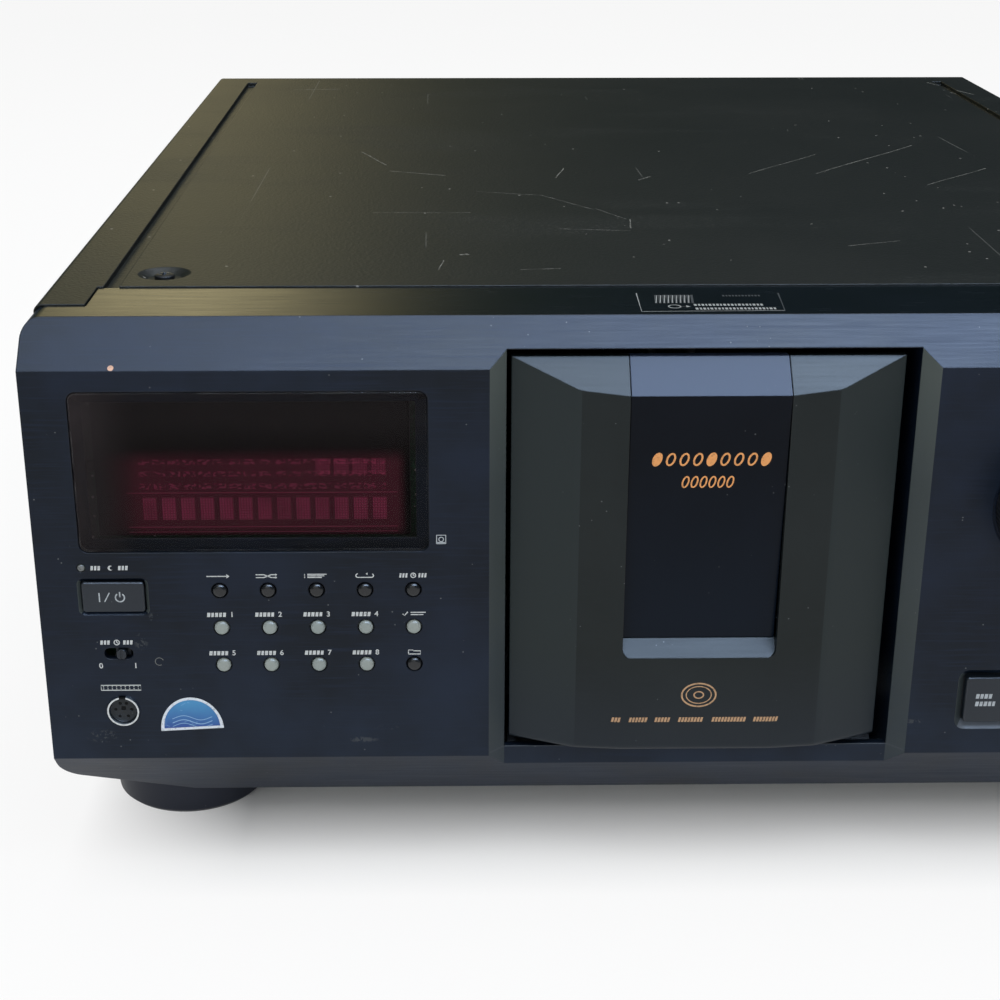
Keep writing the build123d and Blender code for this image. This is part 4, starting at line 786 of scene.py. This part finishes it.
def onDoor(p):
    depth, middle, half, slope = surfaceLook["door"]
    fall = np.maximum(abs(p[:, 0] - middle) - half, 0.0) * slope
    return standing(p, depth - surfaceLook["lift"] + fall)


# the front's marks are signs, bars and plain numbers: no words
captionLook = {"line": 0.34, "figure": 2.5, "above": (5.0, 4.6, 4.2), "lamp": (-191.0, 109.3),
               "timer": (-190.9, 82.9), "ends": ((-196.6, 74.4), (-185.3, 74.4)),
               "keyboard": (-197.2, -184.2, 65.5, 67.3)}


def bars(ink, left, z, widths, height=1.5, lean=0.18, gap=0.36):
    # a row of small leaning bars of the given widths, which stands where a word would
    x = left
    for width in widths:
        ink.fill([(x, z - height / 2), (x + width, z - height / 2),
                  (x + width + lean, z + height / 2), (x + lean, z + height / 2)])
        x += width + gap
    return ink


def arrowHead(x, z, size, way=1):
    return [(x, z - size), (x + way * size * 1.3, z), (x, z + size)]


def modeSigns(ink, w, x, z):  # an arrow, crossed arrows, a list, a loop and a clock over the first row
    ink.line(w, [(x[0] - 4, z), (x[0] + 2.6, z)]).fill(arrowHead(x[0] + 2.4, z, 0.75))
    for way in (1, -1):
        ink.line(w, [(x[1] - 3.8, z - 0.5 * way), (x[1] - 1.2, z - 0.5 * way), (x[1] + 1.2, z + 0.5 * way),
                     (x[1] + 2.6, z + 0.5 * way)]).fill(arrowHead(x[1] + 2.5, z + 0.5 * way, 0.45))
    for row, step in enumerate((0.55, 0.0, -0.55)):
        ink.line(w, [(x[2] - 2.8, z + step), (x[2] + 3.4 - row * 0.8, z + step)])
        ink.fill(arc(x[2] - 3.7, z + step, 0.18, steps=10))
    loop = np.concatenate([arc(x[3] - 2.2, z, 0.62, 90, 270), arc(x[3] + 2.2, z, 0.62, 270, 430)])
    ink.line(w, loop).fill(arrowHead(x[3] + 0.9, z + 0.62, 0.45, -1))
    ink.line(w, arc(x[4], z, 0.78)).line(w, [(x[4], z + 0.5), (x[4], z), (x[4] + 0.4, z - 0.2)])
    for left in (x[4] - 4.5, x[4] + 1.6):
        bars(ink, left, z, (0.6, 0.6, 0.6))


def groupSigns(ink, w, x, heights):  # bars with the numbers 1 to 8, and a tick and a folder at the rows' ends
    for z, first in zip(heights[1:], (1, 5)):
        for column in range(4):
            bars(ink, x[column] - 4.6, z, (1.0, 0.8, 1.0, 0.9, 0.9))
            ink.figure(str(first + column), captionLook["figure"], x[column] + 3.5, z)
    z, end = heights[1], x[4]
    ink.line(w, [(end - 3.6, z), (end - 3.0, z - 0.6), (end - 1.9, z + 0.7)])
    for step in (0.5, -0.3):
        ink.line(w, [(end - 1.0, z + step), (end + 3.4 + step, z + step)])
    z = heights[2]
    ink.line(w, [(end - 1.9, z - 0.7), (end - 1.9, z + 0.75), (end - 0.5, z + 0.75), (end - 0.2, z + 0.45),
                 (end + 2.0, z + 0.45), (end + 2.0, z - 0.7), (end - 1.9, z - 0.7)])


def sideSigns(ink, w):  # a crescent beside the lamp, the timer's clock and places, and a keyboard's outline
    x, z = captionLook["lamp"]
    ink.fill(np.concatenate([arc(x, z, 0.85, 60, 300), arc(x + 0.4, z, 0.62, 290, 70)]))
    for left in (x - 6.4, x + 2.4):
        bars(ink, left, z, (0.8, 0.7, 0.8))
    x, z = captionLook["timer"]
    ink.line(w, arc(x, z, 0.85)).line(w, [(x, z + 0.6), (x, z), (x + 0.5, z - 0.3)])
    for left in (x - 5.4, x + 2.0):
        bars(ink, left, z, (0.8, 0.7, 0.8))
    for text, place in zip("01", captionLook["ends"]):
        ink.figure(text, 2.6, *place)
    outline = box(*captionLook["keyboard"])
    left, low = outline[0]
    ink.line(w, outline + outline[:1])
    for rise in (0.5, 1.25):
        for i in range(9):
            ink.fill(arc(left + 0.8 + i * 1.42, low + rise, 0.2, steps=8))


def makeCaptions():
    ink, w = Ink(), captionLook["line"]
    heights = [z + rise for z, rise in zip(buttonLook["rows"], captionLook["above"])]
    modeSigns(ink, w, buttonX, heights[0])
    groupSigns(ink, w, buttonX, heights)
    sideSigns(ink, w)
    ink.lay("front_captions", onFront(0.0), "white")


def makeKeySigns():  # the signs on the keys, which move with them
    power = Ink().line(0.42, [(-195.2, 97.6), (-195.2, 100.8)]).line(0.36, [(-193.6, 97.6), (-191.9, 100.8)])
    power.line(0.44, arc(-188.6, 99.1, 1.45, 125, 415)).line(0.44, [(-188.6, 99.2), (-188.6, 101.1)])
    eject = Ink().fill([(104.0, 59.6), (108.0, 59.6), (106.0, 62.4)], box(104.0, 108.0, 57.7, 58.7))
    bars(eject, 91.6, 61.4, (1.1, 1.0, 1.1, 1.0), 1.7)
    bars(eject, 91.6, 58.6, (1.1, 1.0, 1.1, 1.0, 0.9), 1.7)
    stop = Ink().fill(box(140.7, 143.3, 59.1, 61.7))
    pause = Ink().fill(box(164.7, 165.5, 59.1, 61.7), box(166.5, 167.3, 59.1, 61.7))
    play = Ink().fill([(188.8, 58.9), (191.6, 60.4), (188.8, 61.9)])
    for sign, key, ink in (("power", "power", power), ("eject", "open_close", eject), ("stop", "stop", stop),
                           ("pause", "pause", pause), ("play", "play", play)):
        ink.lay(sign + "_sign", onFront(-0.4), "grey", nodes[key + "_button"]["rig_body"])


# two rows of leaning rings on the inlay, some of them full, and rings and a fine broken rule on the door
doorMarkLook = {
    "rows": [{"left": -19.0, "right": 18.0, "z": 146.4, "radius": 2.35, "squeeze": 0.62, "lean": 0.24,
              "line": 0.62, "inner": 0.82, "full": (0, 4, 8), "count": 9},
             {"left": -9.4, "right": 6.8, "z": 138.7, "radius": 2.15, "squeeze": 0.5, "lean": 0.22,
              "line": 0.5, "inner": 0.84, "full": (), "count": 6}],
    "ring": (-1.0, 64.5), "circles": ((4.2, 0.55, 1.33, 56), (3.1, 0.35, 1.33, 56), (1.2, 0.45, 1.3, 24)),
    "rule": (-29.6, 55.4), "widths": (3.9, 6.6, 5.9, 9.2, 11.8, 8.6)}


def makeDoorMarks():
    ink = Ink()
    for row in doorMarkLook["rows"]:
        z, r, squeeze, lean = row["z"], row["radius"], row["squeeze"], row["lean"]
        across = np.linspace(row["left"] + r * squeeze, row["right"] - r * squeeze, row["count"])
        for i, x in enumerate(across):
            if i in row["full"]:
                ink.fill(arc(x, z, r, squeeze=squeeze + 0.04, lean=lean, steps=28))
            else:
                ink.line(row["line"], arc(x, z, r * row["inner"], squeeze=squeeze, lean=lean, steps=32))
    ink.lay("inlay_marks", onInlay, "amber", nodes["door_window"]["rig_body"])
    ink, (x, z) = Ink(), doorMarkLook["ring"]
    for radius, width, squeeze, steps in doorMarkLook["circles"]:
        ink.line(width, arc(x, z, radius, squeeze=squeeze, steps=steps))
    left, z = doorMarkLook["rule"]
    for width in doorMarkLook["widths"]:
        bars(ink, left, z, [0.75] * int(width / 1.03), height=1.7, lean=0.4, gap=0.28)
        left += width + 1.9
    ink.lay("door_marks", onDoor, "tan", nodes["door_panel"]["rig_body"])


# the half-round sticker: its place and turn, and each layer's half width, height, foot and lift
stickerShape = {"place": (-168.1, 50.75), "turn": 3.0, "layers": [
    ("sticker_border", "paper", 10.4, 11.9, 0.0, 0.05),
    ("sticker_middle", "sticker", 9.25, 10.0, 0.95, 0.09)]}


def makeSticker():  # a white border under a blue middle
    c, s = cos(radians(stickerShape["turn"])), sin(radians(stickerShape["turn"]))
    for name, finish, width, height, low, lift in stickerShape["layers"]:
        u, v = arc(0.0, 0.0, 1.0, 0, 180, 40).T
        u, v = u * width, v * height + low
        half = np.stack([u * c - v * s, u * s + v * c], -1) + stickerShape["place"]
        Ink().fill(half).lay(name, onFront(0.0, lift), finish)


# the label on the strip, in x and depth
labelLook = {"outline": [(-21.5, 39.0), (-21.9, 16.8), (23.2, 17.5), (24.6, 38.6)],
             "disc": (-10.9, 22.6, 1.9), "arrow": (-7.2, 22.6), "bars": ((24.4, 19), (19.9, 22)),
             "widths": [0.95, 0.75, 0.85, 0.6] * 6}


def labelMarks(ink, inset, line, arrow):  # the disc, the arrow and the bars, each narrower by the inset
    ink.line(line, arc(*labelLook["disc"])).fill(arrowHead(*labelLook["arrow"], arrow))
    for depth, count in labelLook["bars"]:
        bars(ink, -4.6 + inset, depth, [w - 2 * inset for w in labelLook["widths"][:count]],
             height=2.5 - 8 * inset, lean=0.0, gap=0.38 + 2 * inset)


def makeStripLabel():  # clear foil, and paler and thinner printing on it
    foil = Ink().line(0.45, labelLook["outline"])
    pale = Ink().line(0.3, labelLook["outline"][:3])
    for i in range(10):
        x = -16.7 + i * 1.3
        foil.fill([(x, 26.6), (x + 0.75, 26.6), (x + 1.5, 36.6), (x + 0.75, 36.6)])
    for i in range(9):
        x = -16.3 + i * 1.3
        pale.line(0.26, [(x, 27.0), (x + 1.2, 36.2)])
    foil.line(0.5, [(-9.0, 22.6), (-7.2, 22.6)])
    bars(foil, 6.0, 35.5, [0.7, 0.55] * 6, height=1.6, lean=0.0, gap=0.42)
    labelMarks(foil, 0.0, 0.7, 1.3)
    labelMarks(pale, 0.05, 0.36, 1.0)
    foil.lay("strip_label", onStrip, "foil")
    pale.lay("strip_label_print", lambda p: onStrip(p) + [0.0, 0.0, 0.02], "label")


smallMarkLook = {"dot": (-186.1, 0.75, 0.95), "square": (-86.6, -83.7, 117.2, 120.1),
                 "rubbed": (-177.5, 75.9, 1.35)}


def makeSmallMarks():  # the dot on the chamfer, the small square sign by the window, and a rubbed ring
    x, depth, radius = smallMarkLook["dot"]
    dot = arc(x, 0.0, radius, steps=28) * [1.0, sqrt(0.5)] + [0.0, depth]
    Ink().fill(dot).lay("chamfer_dot", onTopChamfer, "orange")
    left, right, low, high = smallMarkLook["square"]
    corners = box(left, right, low, high)
    ink = Ink().line(0.34, corners + corners[:1])
    ink.line(0.3, arc((left + right) / 2, (low + high) / 2, 0.75))
    ink.line(0.5, [(left + 0.2, low + 0.3), (right - 0.2, low + 0.3)])
    ink.lay("square_sign", onFront(0.0), "grey")
    ring = arc(*smallMarkLook["rubbed"], 20, 300)
    Ink().line(0.22, ring).lay("rubbed_ring", onFront(0.0), "dull")


makeCaptions()
makeKeySigns()
makeDoorMarks()
makeSticker()
makeStripLabel()
makeSmallMarks()
print("marks laid")


cameraLook = {"place": (-0.08096, -0.77765, 0.3383), "pitch": 68.4, "yaw": -0.773, "lens": 64.1,
              "shift": (0.0235, 0.0027)}


def makeCamera():
    data = bpy.data.cameras.new("camera")
    data.sensor_width, data.sensor_fit = 36.0, "HORIZONTAL"
    data.lens = cameraLook["lens"]
    data.shift_x, data.shift_y = cameraLook["shift"]
    data.clip_start, data.clip_end = 0.02, 50.0
    camera = placed("camera", data)
    camera.location = cameraLook["place"]
    camera.rotation_euler = (radians(cameraLook["pitch"]), 0.0, radians(cameraLook["yaw"]))
    scene.camera = camera


lightLook = {
    "overhead": {"place": (0.15, -0.1, 1.9), "aim": (0.0, 0.0, 0.1), "size": (2.2, 2.0), "watts": 30.0,
                 "colour": (0.95, 0.98, 1.0)},
    "front": {"place": (-0.5, -2.1, 0.9), "aim": (0.0, -0.25, 0.1), "size": (1.8, 1.2), "watts": 9.0,
              "colour": (0.94, 0.97, 1.0)},
    "skyCard": {"place": (0.28, -0.72, 1.35), "aim": (0.0, -0.25, 0.18), "size": (1.6, 0.6), "watts": 58.0,
                "colour": (0.5, 0.69, 1.0)},
}
worldLevel = 0.42


def makeLights():  # soft lights that the camera doesn't see, and a blue card that shows only in reflections
    for name, look in lightLook.items():
        data = bpy.data.lights.new(name, "AREA")
        data.shape = "RECTANGLE"
        data.size, data.size_y = look["size"]
        data.energy, data.color = look["watts"], look["colour"]
        light = placed(name, data)
        light.location = look["place"]
        back = Vector(look["place"]) - Vector(look["aim"])
        light.rotation_euler = back.to_track_quat("Z", "Y").to_euler()
        light.visible_camera = False
        light.visible_diffuse = name != "skyCard"


def seenRay(tree):  # 1 for what the camera, a mirror or a glass sees, 0 for what lights the object
    rays = tree.nodes.new("ShaderNodeLightPath")
    return Sock(tree, rays.outputs["Is Camera Ray"]).most(
        Sock(tree, rays.outputs["Is Glossy Ray"])).most(Sock(tree, rays.outputs["Is Transmission Ray"]))


def makeWorld():
    world = bpy.data.worlds.new("studio")
    scene.world = world
    world.use_nodes = True
    tree = world.node_tree
    tree.nodes.clear()
    back = tree.nodes.new("ShaderNodeBackground")
    back.inputs["Color"].default_value = (1.0, 1.0, 1.0, 1.0)
    tree.links.new((worldLevel + (1.0 - worldLevel) * seenRay(tree)).out, back.inputs["Strength"])
    out = tree.nodes.new("ShaderNodeOutputWorld")
    tree.links.new(back.outputs[0], out.inputs[0])


# the floor's half size, paints and share of white, and the half width and depth of what lies under the object
floorLook = {"half": 6, "paint": (0.88, 0.88, 0.88), "paper": (0.91, 0.91, 0.91), "white": 0.86,
             "under": (0.215, 0.277), "fade": 0.06}


def stagePiece(name, verts, faces, material):
    mesh = bpy.data.meshes.new(name)
    mesh.from_pydata([tuple(v) for v in np.asarray(verts, float).tolist()], [], faces)
    mesh.materials.append(material)
    piece = placed(name, mesh)
    return piece


def makeFloor():  # pale paper, most of the way to white for the camera, so that its shadow stays but is soft
    f = Finish("paleFloor")
    look = floorLook
    f.coat(f.blend(f.noise(3.0, 2.0), look["paint"], look["paper"]), 0.9, 0.1)
    paper = f.tree.nodes["Principled BSDF"].outputs[0]
    white = f.node("ShaderNodeEmission", values={"Strength": 1.0})
    half, fade = look["under"], look["fade"]
    under = ((half[1] - abs(f.y)) / fade).clamped() * ((half[0] - abs(f.x)) / fade).clamped()
    mixed = f.node("ShaderNodeMixShader", values={
        0: seenRay(f.tree) * look["white"] * (1 - under), 1: Sock(f.tree, paper), 2: white})
    f.tree.links.new(mixed.out, f.output.inputs[0])
    corners = [(*corner, 0) for corner in box(-look["half"], look["half"], -look["half"], look["half"])]
    stagePiece("floor", corners, [(0, 1, 2, 3)], f.material)


# dim walls all round, seen only in reflections, keep the top dark; a warm patch stands behind on the left
wallLook = {"radius": 2.4, "low": 0.004, "high": 3.4, "steps": 96, "eye": 0.19,
            "left": (0.046, 0.062, 0.038), "right": (0.013, 0.024, 0.031),
            "turning": (-8.0, 9.0), "warm": (2.0, 1.72, 0.95), "azimuth": -14.0, "elevation": 13.0,
            "wide": 6.5, "tall": 9.0}


def makeWalls():
    f = Finish("dimWall")
    look = wallLook
    away = f.x.maths("ARCTAN2", f.y) * (180.0 / pi)  # degrees to the right of straight behind
    up = ((f.z - look["eye"]) / look["radius"]).maths("ARCTANGENT") * (180.0 / pi)
    a, e = (away - look["azimuth"]) / look["wide"], (up - look["elevation"]) / look["tall"]
    patch = (a * a + e * e).maths("MULTIPLY", -1.0).maths("EXPONENT")
    colour = f.blend(away.ramp(*look["turning"]), look["left"], look["right"])
    colour = f.blend(patch, colour, look["warm"])
    glow = f.node("ShaderNodeEmission", values={"Color": colour, "Strength": 1.0})
    f.tree.links.new(glow.out, f.output.inputs[0])
    a = np.linspace(0, 2 * pi, look["steps"], endpoint=False)
    ring = look["radius"] * np.stack([np.sin(a), np.cos(a)], -1)
    verts = np.concatenate([np.c_[ring, np.full(len(a), z)] for z in (look["low"], look["high"])])
    wall = stagePiece("dim_walls", verts, gridFaces(2, len(a), wrap=True), f.material)
    wall.visible_camera = wall.visible_diffuse = wall.visible_shadow = wall.visible_transmission = False


makeCamera()
makeWorld()
makeFloor()
makeWalls()
makeLights()
scene.view_settings.view_transform = "Standard"
print("camera and light set")
